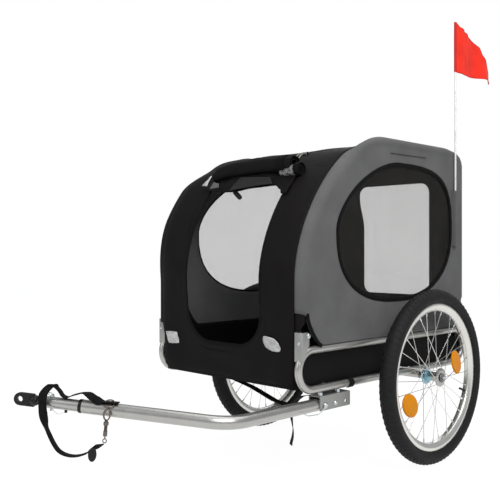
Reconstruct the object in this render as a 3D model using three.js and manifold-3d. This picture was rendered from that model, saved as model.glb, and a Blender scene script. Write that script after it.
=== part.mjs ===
// Folding two-wheeled bicycle trailer with a fabric cabin for a pet.
// Millimetres. X points forward to the hitch, Y to the trailer's left, Z up.
// The pieces are placed with the axle above the origin, and the whole trailer
// is moved at the end so that the origin lies under the middle of its box.

import * as THREE from "three";
import { mergeVertices } from "three/addons/utils/BufferGeometryUtils.js";
import Module from "manifold-3d";

const wasm = await Module();
wasm.setup();

// General sizes
const mm = 1;
const clearance = 0.3;
const overrun = 5;
const rivetDiameter = 8;
const rivetHeadDiameter = 13;
const rivetHeadHeight = 3.5;

// Wheels
const wheelDiameter = 500;
const track = 670;
const tyreWidth = 46;
const tyreThickness = 4;
const tyreOpening = 2.75;
const rimDiameter = 412;
const rimDepth = 18;
const rimWidth = 28;
const rimSegments = 40;
const hubBodyDiameter = 32;
const hubOuterFlangeDiameter = 52;
const hubInnerFlangeDiameter = 48;
const hubFlangeThickness = 5;
const hubOuterReach = 27;
const hubInnerReach = 33;
const hubInnerFlangeReach = 25;
const hubBossDiameter = 26;
const spokeDiameter = 2;
const spokeSeatRadius = 21;
const spokeRimOffset = 2;
const spokeStagger = 1.3;
const spokeStartAngle = 15;
const spokesPerFlange = 14;
const spokeCrossings = 2;
const reflectorLength = 72;
const reflectorWidth = 58;
const reflectorThickness = 5;
const reflectorFrontRadius = 149;
const reflectorRearRadius = 104;
const reflectorFrontAngle = -25;
const reflectorRearAngle = 162;

// Quick-release axles
const axleDiameter = 12;
const axleInsertion = 76;
const axleCollarDiameter = 20;
const axleHeadDiameter = 24;
const axleHeadThickness = 3;
const buttonDiameter = 8;
const buttonLength = 24;
const buttonReach = 5;
const buttonTravel = 4;

// Base frame
const railDiameter = 20;
const railInset = 67;
const railUpperHeight = 363;
const railLowerHeight = 263;
const railFrontX = 510;
const railRearX = -278;
const railJointX = -60;
const railJointGap = 0.5;
const axleBeamDiameter = 20;
const axleBeamInset = 45;
const crossTubeFrontX = 400;
const crossTubeRearX = -222;
const crossTubeDiameter = 20;

// Hoop brackets
const bracketThickness = 3;
const bracketDepth = 28;
const bracketHeight = 72;
const bracketBottomDrop = 25;
const bracketInset = 8;
const pivotInset = 25;
const pivotRise = 38;

// Hoops
const hoopDiameter = 14;
const hoopTailLength = 12;
const hoopCornerRadius = 45;

// Cabin
const cabinOverhang = 7.8;
const clothThickness = 2.5;
const cabinFrontX = 508;
const cabinRearX = -286;
const cabinRoofHeight = 926;
const cabinShoulderHeight = 540;
const cabinCurveLift = 160;
const cabinCurveReach = 180;
const cabinCurveEndX = 150;
const cabinRearRadius = 50;
const cornerCutLength = 70;
const cornerCutHeight = 82;
const frontCurveShare = 0.78;
const hoopBarShare = 0.91;
const roofOverlap = 6;
const windowCentreX = 74;
const windowTopDrop = 65;
const windowLength = 580;
const windowBottomRise = 87.7;
const windowRoundness = 2.6;
const meshThickness = 1.2;
const doorwayWidth = 296;
const doorwaySillDrop = 2;
const doorwayTopDrop = 126;
const doorwayCornerRadius = 88;
const doorwayTopRadius = 40;
const rearOpeningWidth = 300;
const rearOpeningBottomRise = 92;
const rearOpeningTopDrop = 81;
const rearOpeningRadius = 40;
const rollDiameter = 70;
const rollLength = 320;
const rollTurns = 3;
const rollClothThickness = 4;
const rollCoreRadius = 8;
const rollShare = 0.52;

// Floor
const tubWallDrop = 11;
const tubWallThickness = 2.5;
const boardThickness = 6;
const boardMargin = 6;

// Flag
const poleDiameter = 6;
const poleX = -217;
const poleReach = 529;
const sleeveTopDrop = 127;
const sleeveLength = 176;
const sleeveWidth = 16;
const sleeveDepth = 11;
const sleeveFloorThickness = 4;
const flagHeight = 156;
const flagLength = 222;
const flagThickness = 1.2;
const flagTopDrop = 2;
const flagTipDrop = 150;
const flagFoldDepth = 9;
const flagFolds = 1.6;
const flagHemGap = 0.4;

// Drawbar channel
const channelThickness = 3;
const channelFrontX = 437;
const channelRearX = 315;
const channelTop = 244;
const channelDepth = 37;
const channelPivotX = 376;
const channelHolePitch = 42;
const channelPivotDrop = 24;
const channelBoltDiameter = 6;
const channelBoltHeadDiameter = 12;
const channelBoltHeadHeight = 2.5;
const channelBoltInset = 11;
const channelBoltPitch = 70;
const channelBoltDepth = 15;

// Drawbar
const drawbarDiameter = 32;
const drawbarBendX = 732;
const drawbarBendRadius = 105;
const drawbarEndOverhang = 12;
const drawbarTurn = -52.6;
const drawbarRise = 5.2;
const drawbarOuterLength = 347;
const couplerEyeReach = 35;
const hitchTubeDiameter = 27;
const hitchTubeInsertion = 24;
const hitchTubeLength = 100;
const hitchCollarDiameter = 30;
const hitchCollarLength = 8;
const hitchNeckDiameter = 9;
const hitchBallDiameter = 18;
const couplerHeight = 30;
const couplerThickness = 9;
const couplerHoleDiameter = 14;
const couplerSocketDiameter = 26;
const hitchPinDiameter = 6;
const hitchPinSetback = 24;
const hitchPinOverhang = 6;
const hitchPinHeadDiameter = 11;
const hitchPinHeadHeight = 4;
const hitchPinRingDiameter = 16;
const hitchPinRingWire = 2;
const hitchPinRingTilt = 14;

// Lock pin of the drawbar
const lockPinDiameter = 8;
const lockPinHeadDiameter = 15;
const lockPinHeadHeight = 6;
const lockWireDiameter = 2.4;
const lockWireReach = 93;

// Safety strap
const strapWidth = 20;
const strapThickness = 2.4;
const ringWire = 3.2;
const ringDiameter = 26;
const ringSetback = 65;
const ringLean = 60;
const hookWire = 4;
const hookLoopWidth = 15;
const hookLoopHeight = 25;
const hookEyeDiameter = 7.8;
const hookEyeWire = 3.2;
const hookBarrelDiameter = 8;
const hookBarrelLength = 25;
const hookCollarDiameter = 10;
const hookCollarLength = 11;
const hookNeckDiameter = 3.2;
const hookNeckLength = 7;
const hookSwivelDiameter = 9;
const hookSwivelWire = 2.6;
const hookSleeveDiameter = 12.4;
const hookSleeveLength = 7;
const hookSleeveDrop = 4;
const tagLength = 33;
const tagWidth = 20;
const tagThickness = 3;
const tagSetback = 43;
const tagDrop = 98.7;

// Strap under the floor
const floorStrapWidth = 20;
const floorStrapThickness = 2;
const floorStrapRightX = 330;
const floorStrapLeftX = 476;
const floorStrapSag = 34.2;
const tailDrop = 88;
const buckleLength = 62;
const buckleWidth = 26;
const buckleThickness = 10;
const buckleTurn = -18;

// Worked out from the sizes above
const wheelRadius = wheelDiameter / 2;
const railRadius = railDiameter / 2;
const railSpacing = track - 2 * railInset;
const railY = railSpacing / 2;
const axleBeamLength = track - 2 * axleBeamInset;
const cabinWidth = railSpacing + 2 * cabinOverhang;
const railBendRadius = (railUpperHeight - railLowerHeight) / 2;
const rimRadius = rimDiameter / 2;
const rimInnerRadius = rimRadius - rimDepth;
const hoopRadius = hoopDiameter / 2;
const drawbarRadius = drawbarDiameter / 2;
const pivotHeight = railUpperHeight + pivotRise;
const frontPivotX = railFrontX + railRadius - bracketInset - pivotInset;
const rearPivotX = railRearX - railRadius + bracketInset + pivotInset - bracketThickness;
const bracketInnerY = railY - railRadius - clearance;
const bracketOuterY = railY + railRadius + clearance;
const panelOuterY = cabinWidth / 2;
const panelInnerY = panelOuterY - clothThickness;
const rearHoopY = panelInnerY - clearance - hoopRadius;
const frontHoopY = bracketInnerY - bracketThickness - clearance - hoopRadius;
const tubHalfWidth = bracketInnerY - bracketThickness - clearance;
const tubBottom = railLowerHeight + railRadius + clearance;
const tubWallTop = railUpperHeight - tubWallDrop;
const boardTop = tubBottom + tubWallThickness + clearance + boardThickness;
const panelBottom = railUpperHeight + railRadius + clearance;
const windowTop = cabinRoofHeight - windowTopDrop;
const windowHeight = windowTop - panelBottom - windowBottomRise;
const windowCentreHeight = windowTop - windowHeight / 2;
const doorwayBottom = railUpperHeight - doorwaySillDrop;
const doorwayTop = cabinRoofHeight - doorwayTopDrop;
const rearOpeningBottom = railUpperHeight + rearOpeningBottomRise;
const rearOpeningTop = cabinRoofHeight - rearOpeningTopDrop;
const sleeveTop = cabinRoofHeight - sleeveTopDrop;
const sleeveBottom = sleeveTop - sleeveLength;
const poleTop = sleeveTop + poleReach;

// Colours and finishes
function finish(color, roughness, metalness) {
  return new THREE.MeshStandardMaterial({ color, roughness, metalness });
}
const silverTube = finish(0xa5a5a0, 0.35, 0.8);
const greyPlate = finish(0x8c8c88, 0.45, 0.7);
const zinc = finish(0xc4cccf, 0.3, 0.9);
const blackCloth = finish(0x1d1b1d, 0.9, 0);
const greyCloth = finish(0x666666, 0.9, 0);
const windowMesh = finish(0x2a2a2c, 0.85, 0);
const blackRubber = finish(0x1c1c1d, 0.75, 0);
const rimAlloy = finish(0xc9c8c4, 0.3, 0.85);
const orangeLens = finish(0xe68c00, 0.25, 0);
const blackPlastic = finish(0x171717, 0.45, 0);
const blackWebbing = finish(0x1a1a1b, 0.85, 0);
const whiteRod = finish(0xe9e9e6, 0.4, 0);
const redCloth = finish(0xf03723, 0.7, 0);
const boardMaterial = finish(0x6d5a44, 0.8, 0);

const trailer = new THREE.Group();

// Geometry helpers

function signedVolume(geometry) {
  const p = geometry.attributes.position;
  const index = geometry.index;
  const a = new THREE.Vector3();
  const b = new THREE.Vector3();
  const c = new THREE.Vector3();
  let sum = 0;
  for (let i = 0; i < index.count; i += 3) {
    a.fromBufferAttribute(p, index.getX(i));
    b.fromBufferAttribute(p, index.getX(i + 1));
    c.fromBufferAttribute(p, index.getX(i + 2));
    sum += a.dot(b.cross(c));
  }
  return sum / 6;
}

// Merges shared corners, drops collapsed triangles and turns the faces outward
function closed(source) {
  const geometry = source.clone();
  geometry.deleteAttribute("normal");
  geometry.deleteAttribute("uv");
  const merged = mergeVertices(geometry);
  const kept = [];
  for (let i = 0; i < merged.index.count; i += 3) {
    const corners = [0, 1, 2].map((k) => merged.index.getX(i + k));
    if (new Set(corners).size === 3) {
      kept.push(corners);
    }
  }
  merged.setIndex(kept.flat());
  if (signedVolume(merged) < 0) {
    merged.setIndex(kept.map(([i, j, k]) => [i, k, j]).flat());
  }
  return merged;
}

function toSolid(geometry) {
  const shape = closed(geometry);
  const vertProperties = new Float32Array(shape.attributes.position.array);
  const triVerts = new Uint32Array(shape.index.array);
  return new wasm.Manifold(new wasm.Mesh({ numProp: 3, vertProperties, triVerts }));
}

function toGeometry(solid) {
  const mesh = solid.getMesh();
  const geometry = new THREE.BufferGeometry();
  geometry.setAttribute("position", new THREE.BufferAttribute(mesh.vertProperties, 3));
  geometry.setIndex(Array.from(mesh.triVerts));
  return geometry;
}

function join(first, ...others) {
  return toGeometry(others.reduce((sum, g) => sum.add(toSolid(g)), toSolid(first)));
}

function cut(first, ...others) {
  return toGeometry(others.reduce((rest, g) => rest.subtract(toSolid(g)), toSolid(first)));
}

function block(low, high) {
  const size = high.map((h, i) => h - low[i]);
  const geometry = new THREE.BoxGeometry(...size);
  geometry.translate(...high.map((h, i) => (h + low[i]) / 2));
  return geometry;
}

// A straight round bar between two points
function rod(from, to, radius, sides = 16) {
  const line = to.clone().sub(from);
  const geometry = new THREE.CylinderGeometry(radius, radius, line.length(), sides);
  const turn = new THREE.Quaternion().setFromUnitVectors(
    new THREE.Vector3(0, 1, 0),
    line.clone().normalize(),
  );
  geometry.applyQuaternion(turn);
  geometry.translate(...from.clone().add(to).multiplyScalar(1 / 2).toArray());
  return geometry;
}

// A profile of [radius, place along Y] points turned round the Y axis
function spun(profile, segments = 20) {
  const points = profile.map(([r, y]) => new THREE.Vector2(r, y));
  return new THREE.LatheGeometry(points, segments);
}

// The same, for a profile that is a closed ring
function spunRing(profile, segments) {
  return spun([...profile, profile[0]], segments);
}

const alongX = new THREE.Matrix4().makeRotationZ(-Math.PI / 2);

// An outline in the XZ plane, extruded from one Y to another
function slabAcross(outline, fromY, toY, hole = null) {
  const shape = new THREE.Shape(outline.map(([x, z]) => new THREE.Vector2(x, z)));
  if (hole) {
    shape.holes.push(new THREE.Path(hole.map(([x, z]) => new THREE.Vector2(x, z))));
  }
  const depth = toY - fromY;
  const geometry = new THREE.ExtrudeGeometry(shape, { depth, bevelEnabled: false });
  geometry.applyMatrix4(
    new THREE.Matrix4().makeBasis(
      new THREE.Vector3(1, 0, 0),
      new THREE.Vector3(0, 0, 1),
      new THREE.Vector3(0, -1, 0),
    ),
  );
  geometry.translate(0, toY, 0);
  return geometry;
}

// An outline in the YZ plane, extruded from one X to another
function slabAlong(outline, fromX, toX) {
  const shape = new THREE.Shape(outline.map(([y, z]) => new THREE.Vector2(y, z)));
  const depth = toX - fromX;
  const geometry = new THREE.ExtrudeGeometry(shape, { depth, bevelEnabled: false });
  geometry.applyMatrix4(
    new THREE.Matrix4().makeBasis(
      new THREE.Vector3(0, 1, 0),
      new THREE.Vector3(0, 0, 1),
      new THREE.Vector3(1, 0, 0),
    ),
  );
  geometry.translate(fromX, 0, 0);
  return geometry;
}

// A curve through given points, with one step for each of them
class BentLine extends THREE.Curve {
  constructor(points, across = null) {
    super();
    this.points = points;
    this.across = across;
  }

  getPoint(t) {
    const last = this.points.length - 1;
    const i = Math.min(Math.floor(t * last), last - 1);
    return this.points[i].clone().lerp(this.points[i + 1], t * last - i);
  }

  getPointAt(u) {
    return this.getPoint(u);
  }

  getTangentAt(u) {
    const last = this.points.length - 1;
    const i = Math.round(u * last);
    const here = this.points[i];
    const tangent = new THREE.Vector3();
    if (i > 0) {
      tangent.add(here.clone().sub(this.points[i - 1]).normalize());
    }
    if (i < last) {
      tangent.add(this.points[i + 1].clone().sub(here).normalize());
    }
    return tangent.normalize();
  }

  computeFrenetFrames(segments) {
    if (!this.across) {
      return super.computeFrenetFrames(segments, false);
    }
    const frames = { tangents: [], normals: [], binormals: [] };
    for (let i = 0; i <= segments; i += 1) {
      const tangent = this.getTangentAt(i / segments);
      const normal = this.across[i].clone();
      normal.addScaledVector(tangent, -normal.dot(tangent)).normalize();
      frames.tangents.push(tangent);
      frames.normals.push(normal);
      frames.binormals.push(tangent.clone().cross(normal));
    }
    return frames;
  }
}

// Turns corner points into a line with round bends: each corner is [point, bend radius]
function rounded(corners, stepAngle = 18) {
  const points = [];
  function push(p) {
    const previous = points[points.length - 1];
    if (!previous || previous.distanceTo(p) > clearance / 10) {
      points.push(p);
    }
  }
  corners.forEach(([corner, radius], i) => {
    if (!radius || i === 0 || i === corners.length - 1) {
      push(corner);
      return;
    }
    const back = corners[i - 1][0].clone().sub(corner).normalize();
    const ahead = corners[i + 1][0].clone().sub(corner).normalize();
    const half = back.angleTo(ahead) / 2;
    const turn = Math.PI - 2 * half;
    const start = corner.clone().addScaledVector(back, radius / Math.tan(half));
    const middle = back.clone().add(ahead).normalize();
    const centre = corner.clone().addScaledVector(middle, radius / Math.sin(half));
    const arm = start.clone().sub(centre);
    const axis = ahead.clone().cross(back).normalize();
    const steps = Math.max(2, Math.round(THREE.MathUtils.radToDeg(turn) / stepAngle));
    for (let k = 0; k <= steps; k += 1) {
      const spoke = arm.clone().applyAxisAngle(axis, (turn * k) / steps);
      push(centre.clone().add(spoke));
    }
  });
  return points;
}

function polygon(radius, sides) {
  const points = [];
  for (let k = 0; k < sides; k += 1) {
    const angle = (2 * Math.PI * (k + 1 / 2)) / sides;
    points.push(new THREE.Vector2(radius * Math.cos(angle), radius * Math.sin(angle)));
  }
  return new THREE.Shape(points);
}

function tube(points, radius, sides = 10) {
  return new THREE.ExtrudeGeometry(polygon(radius, sides), {
    steps: points.length - 1,
    extrudePath: new BentLine(points),
  });
}

// Flat webbing: its width lies along the given direction at each point
function webbing(points, across, width, thickness) {
  const w = width / 2;
  const t = thickness / 2;
  const edge = w - t;
  const section = [
    [w, 0],
    [edge, t],
    [0, t],
    [-edge, t],
    [-w, 0],
    [-edge, -t],
    [0, -t],
    [edge, -t],
  ];
  return new THREE.ExtrudeGeometry(
    new THREE.Shape(section.map(([x, y]) => new THREE.Vector2(x, y))),
    { steps: points.length - 1, extrudePath: new BentLine(points, across) },
  );
}

function v(x, y, z) {
  return new THREE.Vector3(x, y, z);
}

function add(name, geometry, material, parent = trailer) {
  const mesh = new THREE.Mesh(closed(geometry), material.clone());
  mesh.name = name;
  parent.add(mesh);
  return mesh;
}

const sides = [
  ["left", 1],
  ["right", -1],
];

// Base frame: each side is one tube bent into a long loop, its ends meeting at a weld

function railLine(y) {
  return rounded([
    [v(railJointX + railJointGap / 2, y, railLowerHeight), 0],
    [v(railFrontX, y, railLowerHeight), railBendRadius],
    [v(railFrontX, y, railUpperHeight), railBendRadius],
    [v(railRearX, y, railUpperHeight), railBendRadius],
    [v(railRearX, y, railLowerHeight), railBendRadius],
    [v(railJointX - railJointGap / 2, y, railLowerHeight), 0],
  ]);
}

const channelBoltY = railY;
const channelBoltX = [channelFrontX - channelBoltInset, channelFrontX - channelBoltInset - channelBoltPitch];

for (const [side, s] of sides) {
  const y = s * railY;
  const cutters = [
    rod(
      v(0, -axleBeamLength, wheelRadius),
      v(0, axleBeamLength, wheelRadius),
      axleBeamDiameter / 2 + clearance,
    ),
  ];
  if (s > 0) {
    for (const x of channelBoltX) {
      cutters.push(
        rod(
          v(x, channelBoltY, channelTop),
          v(x, channelBoltY, railLowerHeight - railRadius + channelBoltDepth + clearance),
          channelBoltDiameter / 2 + clearance,
          12,
        ),
      );
    }
  }
  add(`side_frame_${side}`, cut(tube(railLine(y), railRadius), ...cutters), silverTube);
}

for (const [name, x] of [
  ["front_cross_tube", crossTubeFrontX],
  ["rear_cross_tube", crossTubeRearX],
]) {
  const reach = railY - railRadius - clearance;
  const bar = rod(
    v(x, -reach, railLowerHeight),
    v(x, reach, railLowerHeight),
    crossTubeDiameter / 2,
    12,
  );
  add(name, bar, silverTube);
}

// The axle beam runs under both rails, which are notched to sit on it
{
  const half = axleBeamLength / 2;
  const bore = axleDiameter / 2 + clearance;
  const outside = axleBeamDiameter / 2;
  const profile = [
    [bore, -half],
    [outside, -half],
    [outside, half],
    [bore, half],
  ];
  const beam = spunRing(profile, 16);
  beam.translate(0, 0, wheelRadius);
  add("axle_beam", beam, silverTube);
}

// Hoop brackets: pressed channels that straddle the rail's end bend, with the hoop's pivot rivet

function bracket(s, end) {
  const y0 = s * railY - railRadius - clearance - bracketThickness;
  const y1 = s * railY + railRadius + clearance + bracketThickness;
  const webOuter = end > 0 ? railFrontX + railRadius - bracketInset : railRearX - railRadius - clearance;
  const webInner = webOuter - end * bracketThickness;
  const plateEnd = webOuter - end * bracketDepth;
  const bottom = railUpperHeight - bracketBottomDrop;
  const top = bottom + bracketHeight;
  const span = (a, b) => [Math.min(a, b), Math.max(a, b)];
  const [wx0, wx1] = span(webOuter, webInner);
  const [px0, px1] = span(webOuter, plateEnd);
  const pivotX = end > 0 ? frontPivotX : rearPivotX;
  const solid = join(
    block([wx0, y0, bottom], [wx1, y1, top]),
    block([px0, y0, bottom], [px1, y0 + bracketThickness, top]),
    block([px0, y1 - bracketThickness, bottom], [px1, y1, top]),
  );
  return cut(
    solid,
    tube(railLine(s * railY), railRadius + clearance),
    rod(
      v(pivotX, y0 - overrun, pivotHeight),
      v(pivotX, y1 + overrun, pivotHeight),
      rivetDiameter / 2 + clearance,
      12,
    ),
  );
}

// A rivet along Y through the bracket and the hoop, its factory head outside
function pivotRivet(reachInside, reachOutside) {
  const shank = rivetDiameter / 2;
  const head = rivetHeadDiameter / 2;
  return spun(
    [
      [0, reachInside - rivetHeadHeight],
      [head / 2, reachInside - rivetHeadHeight],
      [head, reachInside],
      [shank, reachInside],
      [shank, reachOutside],
      [head, reachOutside],
      [head / 2, reachOutside + rivetHeadHeight],
      [0, reachOutside + rivetHeadHeight],
    ],
    12,
  );
}

for (const [side, s] of sides) {
  const outside = railRadius + clearance + bracketThickness + clearance;
  const pieces = [
    ["front", 1, frontPivotX, frontHoopY - hoopRadius - clearance - railY],
    ["rear", -1, rearPivotX, -outside],
  ];
  for (const [end, e, x, inside] of pieces) {
    add(`${end}_bracket_${side}`, bracket(s, e), greyPlate);
    const rivet = add(`${end}_pivot_rivet_${side}`, pivotRivet(inside, outside), zinc);
    rivet.position.set(x, s * railY, pivotHeight);
    rivet.rotation.z = s > 0 ? 0 : Math.PI;
  }
}

// Cabin outline seen from the side: front, curved shoulder, roof, rear corner and rear wall

const roofEndX = cabinRearX + cabinRearRadius;
const curveCorners = [
  [cabinFrontX, cabinShoulderHeight],
  [cabinFrontX, cabinShoulderHeight + cabinCurveLift],
  [cabinCurveEndX + cabinCurveReach, cabinRoofHeight],
  [cabinCurveEndX, cabinRoofHeight],
].map(([x, z]) => new THREE.Vector2(x, z));
const shoulder = new THREE.CubicBezierCurve(...curveCorners);

function shoulderPoints(from, to, count) {
  const points = [];
  for (let k = 0; k <= count; k += 1) {
    const p = shoulder.getPoint(from + ((to - from) * k) / count);
    points.push([p.x, p.y]);
  }
  return points;
}

function rearCorner(count = 5) {
  const points = [];
  for (let k = 0; k <= count; k += 1) {
    const angle = Math.PI / 2 + ((Math.PI / 2) * k) / count;
    points.push([
      roofEndX + cabinRearRadius * Math.cos(angle),
      cabinRoofHeight - cabinRearRadius + cabinRearRadius * Math.sin(angle),
    ]);
  }
  return points;
}

// Moves a line of [x, z] points to its right-hand side by a distance
function offset(points, distance) {
  return points.map(([x, z], i) => {
    const [ax, az] = points[Math.max(i - 1, 0)];
    const [bx, bz] = points[Math.min(i + 1, points.length - 1)];
    const length = Math.hypot(bx - ax, bz - az);
    return [x - ((bz - az) / length) * distance, z + ((bx - ax) / length) * distance];
  });
}

// A sheet of cloth that follows a line of [x, z] points, its thickness inside the line
function clothStrip(points, halfWidth) {
  const inner = offset(points, clothThickness).reverse();
  return slabAcross([...points, ...inner], -halfWidth, halfWidth);
}

const frontBottom = tubBottom;

function roundedRectangle(centre, width, bottom, top, bottomRadius, topRadius, steps = 6) {
  const half = width / 2;
  const corners = [
    [centre + half - bottomRadius, bottom + bottomRadius, bottomRadius, -1],
    [centre + half - topRadius, top - topRadius, topRadius, 0],
    [centre - half + topRadius, top - topRadius, topRadius, 1],
    [centre - half + bottomRadius, bottom + bottomRadius, bottomRadius, 2],
  ];
  const points = [];
  for (const [a, b, radius, quarter] of corners) {
    for (let k = 0; k <= steps; k += 1) {
      const angle = (Math.PI / 2) * (quarter + k / steps);
      points.push([a + radius * Math.cos(angle), b + radius * Math.sin(angle)]);
    }
  }
  return points;
}

const sheetHalfWidth = panelInnerY - clearance;

// Beside the brackets the front and rear sheets are narrower
function sideNotches(x0, x1) {
  const inside = tubHalfWidth - clearance;
  const outside = cabinWidth;
  const top = railUpperHeight - bracketBottomDrop + bracketHeight + clearance;
  return sides.map(([, s]) =>
    block(
      [x0, Math.min(s * inside, s * outside), 0],
      [x1, Math.max(s * inside, s * outside), top],
    ),
  );
}

{
  const line = [[cabinFrontX, frontBottom], ...shoulderPoints(0, frontCurveShare, 8)];
  const doorway = roundedRectangle(
    0,
    doorwayWidth,
    doorwayBottom,
    doorwayTop,
    doorwayCornerRadius,
    doorwayTopRadius,
  );
  const sheet = cut(
    clothStrip(line, sheetHalfWidth),
    slabAlong(doorway, 0, cabinFrontX + overrun),
    ...sideNotches(0, cabinFrontX + overrun),
  );
  add("front_panel", sheet, blackCloth);
}

{
  const startShare = frontCurveShare + clearance / cabinCurveReach;
  const line = [
    ...shoulderPoints(startShare, 1, 3),
    [roofEndX + roofOverlap + clearance, cabinRoofHeight],
  ];
  add("roof_panel", clothStrip(line, sheetHalfWidth), blackCloth);
}

{
  const line = [
    [roofEndX + roofOverlap, cabinRoofHeight],
    ...rearCorner(),
    [cabinRearX, frontBottom],
  ];
  const opening = roundedRectangle(
    0,
    rearOpeningWidth,
    rearOpeningBottom,
    rearOpeningTop,
    rearOpeningRadius,
    rearOpeningRadius,
    4,
  );
  const sheet = cut(
    clothStrip(line, sheetHalfWidth),
    slabAlong(opening, cabinRearX - overrun, 0),
    ...sideNotches(cabinRearX - overrun, 0),
  );
  add("rear_panel", sheet, blackCloth);
  const screen = roundedRectangle(
    0,
    rearOpeningWidth - 2 * clearance,
    rearOpeningBottom + clearance,
    rearOpeningTop - clearance,
    rearOpeningRadius,
    rearOpeningRadius,
    4,
  );
  const middle = cabinRearX + clothThickness / 2;
  add("rear_mesh", slabAlong(screen, middle - meshThickness / 2, middle + meshThickness / 2), windowMesh);
}

// Side walls with their oval windows

function windowOutline(grow, count = 28) {
  const points = [];
  for (let k = 0; k < count; k += 1) {
    const angle = (2 * Math.PI * k) / count;
    const c = Math.cos(angle);
    const d = Math.sin(angle);
    points.push([
      windowCentreX + (windowLength / 2 + grow) * Math.sign(c) * Math.abs(c) ** (2 / windowRoundness),
      windowCentreHeight + (windowHeight / 2 + grow) * Math.sign(d) * Math.abs(d) ** (2 / windowRoundness),
    ]);
  }
  return points;
}

const sideOutline = [
  [cabinFrontX - cornerCutLength, panelBottom],
  [cabinFrontX, panelBottom + cornerCutHeight],
  ...shoulderPoints(0, 1, 12),
  ...rearCorner(),
  [cabinRearX, panelBottom + cornerCutHeight],
  [cabinRearX + cornerCutLength, panelBottom],
];

for (const [side, s] of sides) {
  const y0 = Math.min(s * panelInnerY, s * panelOuterY);
  const y1 = Math.max(s * panelInnerY, s * panelOuterY);
  const panel = slabAcross(sideOutline, y0, y1, windowOutline(0));
  add(`side_panel_${side}`, panel, greyCloth);
  const middle = (y0 + y1) / 2;
  const screen = slabAcross(
    windowOutline(-clearance),
    middle - meshThickness / 2,
    middle + meshThickness / 2,
  );
  add(`window_mesh_${side}`, screen, windowMesh);
}

// Hoops that carry the cabin: the front one is narrower and folds back inside the rear one

const hoopInset = clothThickness + clearance + hoopRadius;

function pivotHoles(x) {
  return rod(
    v(x, -cabinWidth, pivotHeight),
    v(x, cabinWidth, pivotHeight),
    rivetDiameter / 2 + clearance,
    12,
  );
}

{
  const y = frontHoopY;
  const curve = offset(shoulderPoints(0, frontCurveShare, 8), hoopInset + clearance);
  const left = [
    [v(frontPivotX, y, pivotHeight - hoopTailLength), 0],
    ...curve.map(([x, z]) => [v(x, y, z), 0]),
  ];
  const lastRise = shoulderPoints(frontCurveShare, hoopBarShare, 1);
  const [, [barX, barZ]] = offset(lastRise, hoopInset + clearance);
  left.push([v(barX, y, barZ), hoopCornerRadius]);
  const right = left.map(([p, r]) => [v(p.x, -p.y, p.z), r]).reverse();
  const hoop = cut(tube(rounded([...left, ...right]), hoopRadius), pivotHoles(frontPivotX));
  add("front_hoop", hoop, silverTube);
}

{
  const y = rearHoopY;
  const wallX = cabinRearX + hoopInset + clearance;
  const barZ = cabinRoofHeight - hoopInset - clearance;
  const left = [
    [v(rearPivotX, y, pivotHeight - hoopTailLength), 0],
    [v(rearPivotX, y, pivotHeight + hoopTailLength), 0],
    [v(wallX, y, cabinRoofHeight - 2 * cabinRearRadius), cabinRearRadius],
    [v(roofEndX + hoopInset, y, barZ), hoopCornerRadius],
  ];
  const right = left.map(([p, r]) => [v(p.x, -p.y, p.z), r]).reverse();
  const hoop = cut(tube(rounded([...left, ...right]), hoopRadius), pivotHoles(rearPivotX));
  add("rear_hoop", hoop, silverTube);
}

// Floor: a cloth tub between the rails, with a stiff board on its bottom

{
  const x0 = cabinRearX + clothThickness + clearance;
  const x1 = cabinFrontX - clothThickness - clearance;
  const y = tubHalfWidth;
  const wall = tubWallThickness;
  const tub = cut(
    block([x0, -y, tubBottom], [x1, y, tubWallTop]),
    block([x0 + wall, -y + wall, tubBottom + wall], [x1 - wall, y - wall, tubWallTop + overrun]),
  );
  add("floor_tub", tub, blackCloth);
  const edge = wall + boardMargin;
  const board = block(
    [x0 + edge, -y + edge, boardTop - boardThickness],
    [x1 - edge, y - edge, boardTop],
  );
  add("floor_board", board, boardMaterial);
}

// The door, rolled up at the top of the doorway: one long strip wound into a spiral

{
  const seat = shoulder.getPoint(rollShare);
  const slope = shoulder.getTangent(rollShare);
  const radius = rollDiameter / 2;
  const centreX = seat.x + slope.y * (radius - clearance);
  const centreZ = seat.y - slope.x * (radius - clearance);
  const seatAngle = Math.atan2(slope.x, -slope.y);
  const stepsPerTurn = 14;
  const steps = rollTurns * stepsPerTurn;
  const outerLine = [];
  const innerLine = [];
  for (let k = 0; k <= steps; k += 1) {
    const angle = seatAngle + (2 * Math.PI * k) / stepsPerTurn;
    const middle = rollCoreRadius + ((radius - rollCoreRadius) * k) / steps - rollClothThickness / 2;
    for (const [line, r] of [
      [outerLine, middle + rollClothThickness / 2],
      [innerLine, middle - rollClothThickness / 2],
    ]) {
      line.push([centreX + r * Math.cos(angle), centreZ + r * Math.sin(angle)]);
    }
  }
  const spiral = slabAcross([...outerLine, ...innerLine.reverse()], -rollLength / 2, rollLength / 2);
  add("door_roll", spiral, blackCloth);
}

// Flag: a sleeve on the left wall, a rod in it, and a pennant with its main folds

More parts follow.
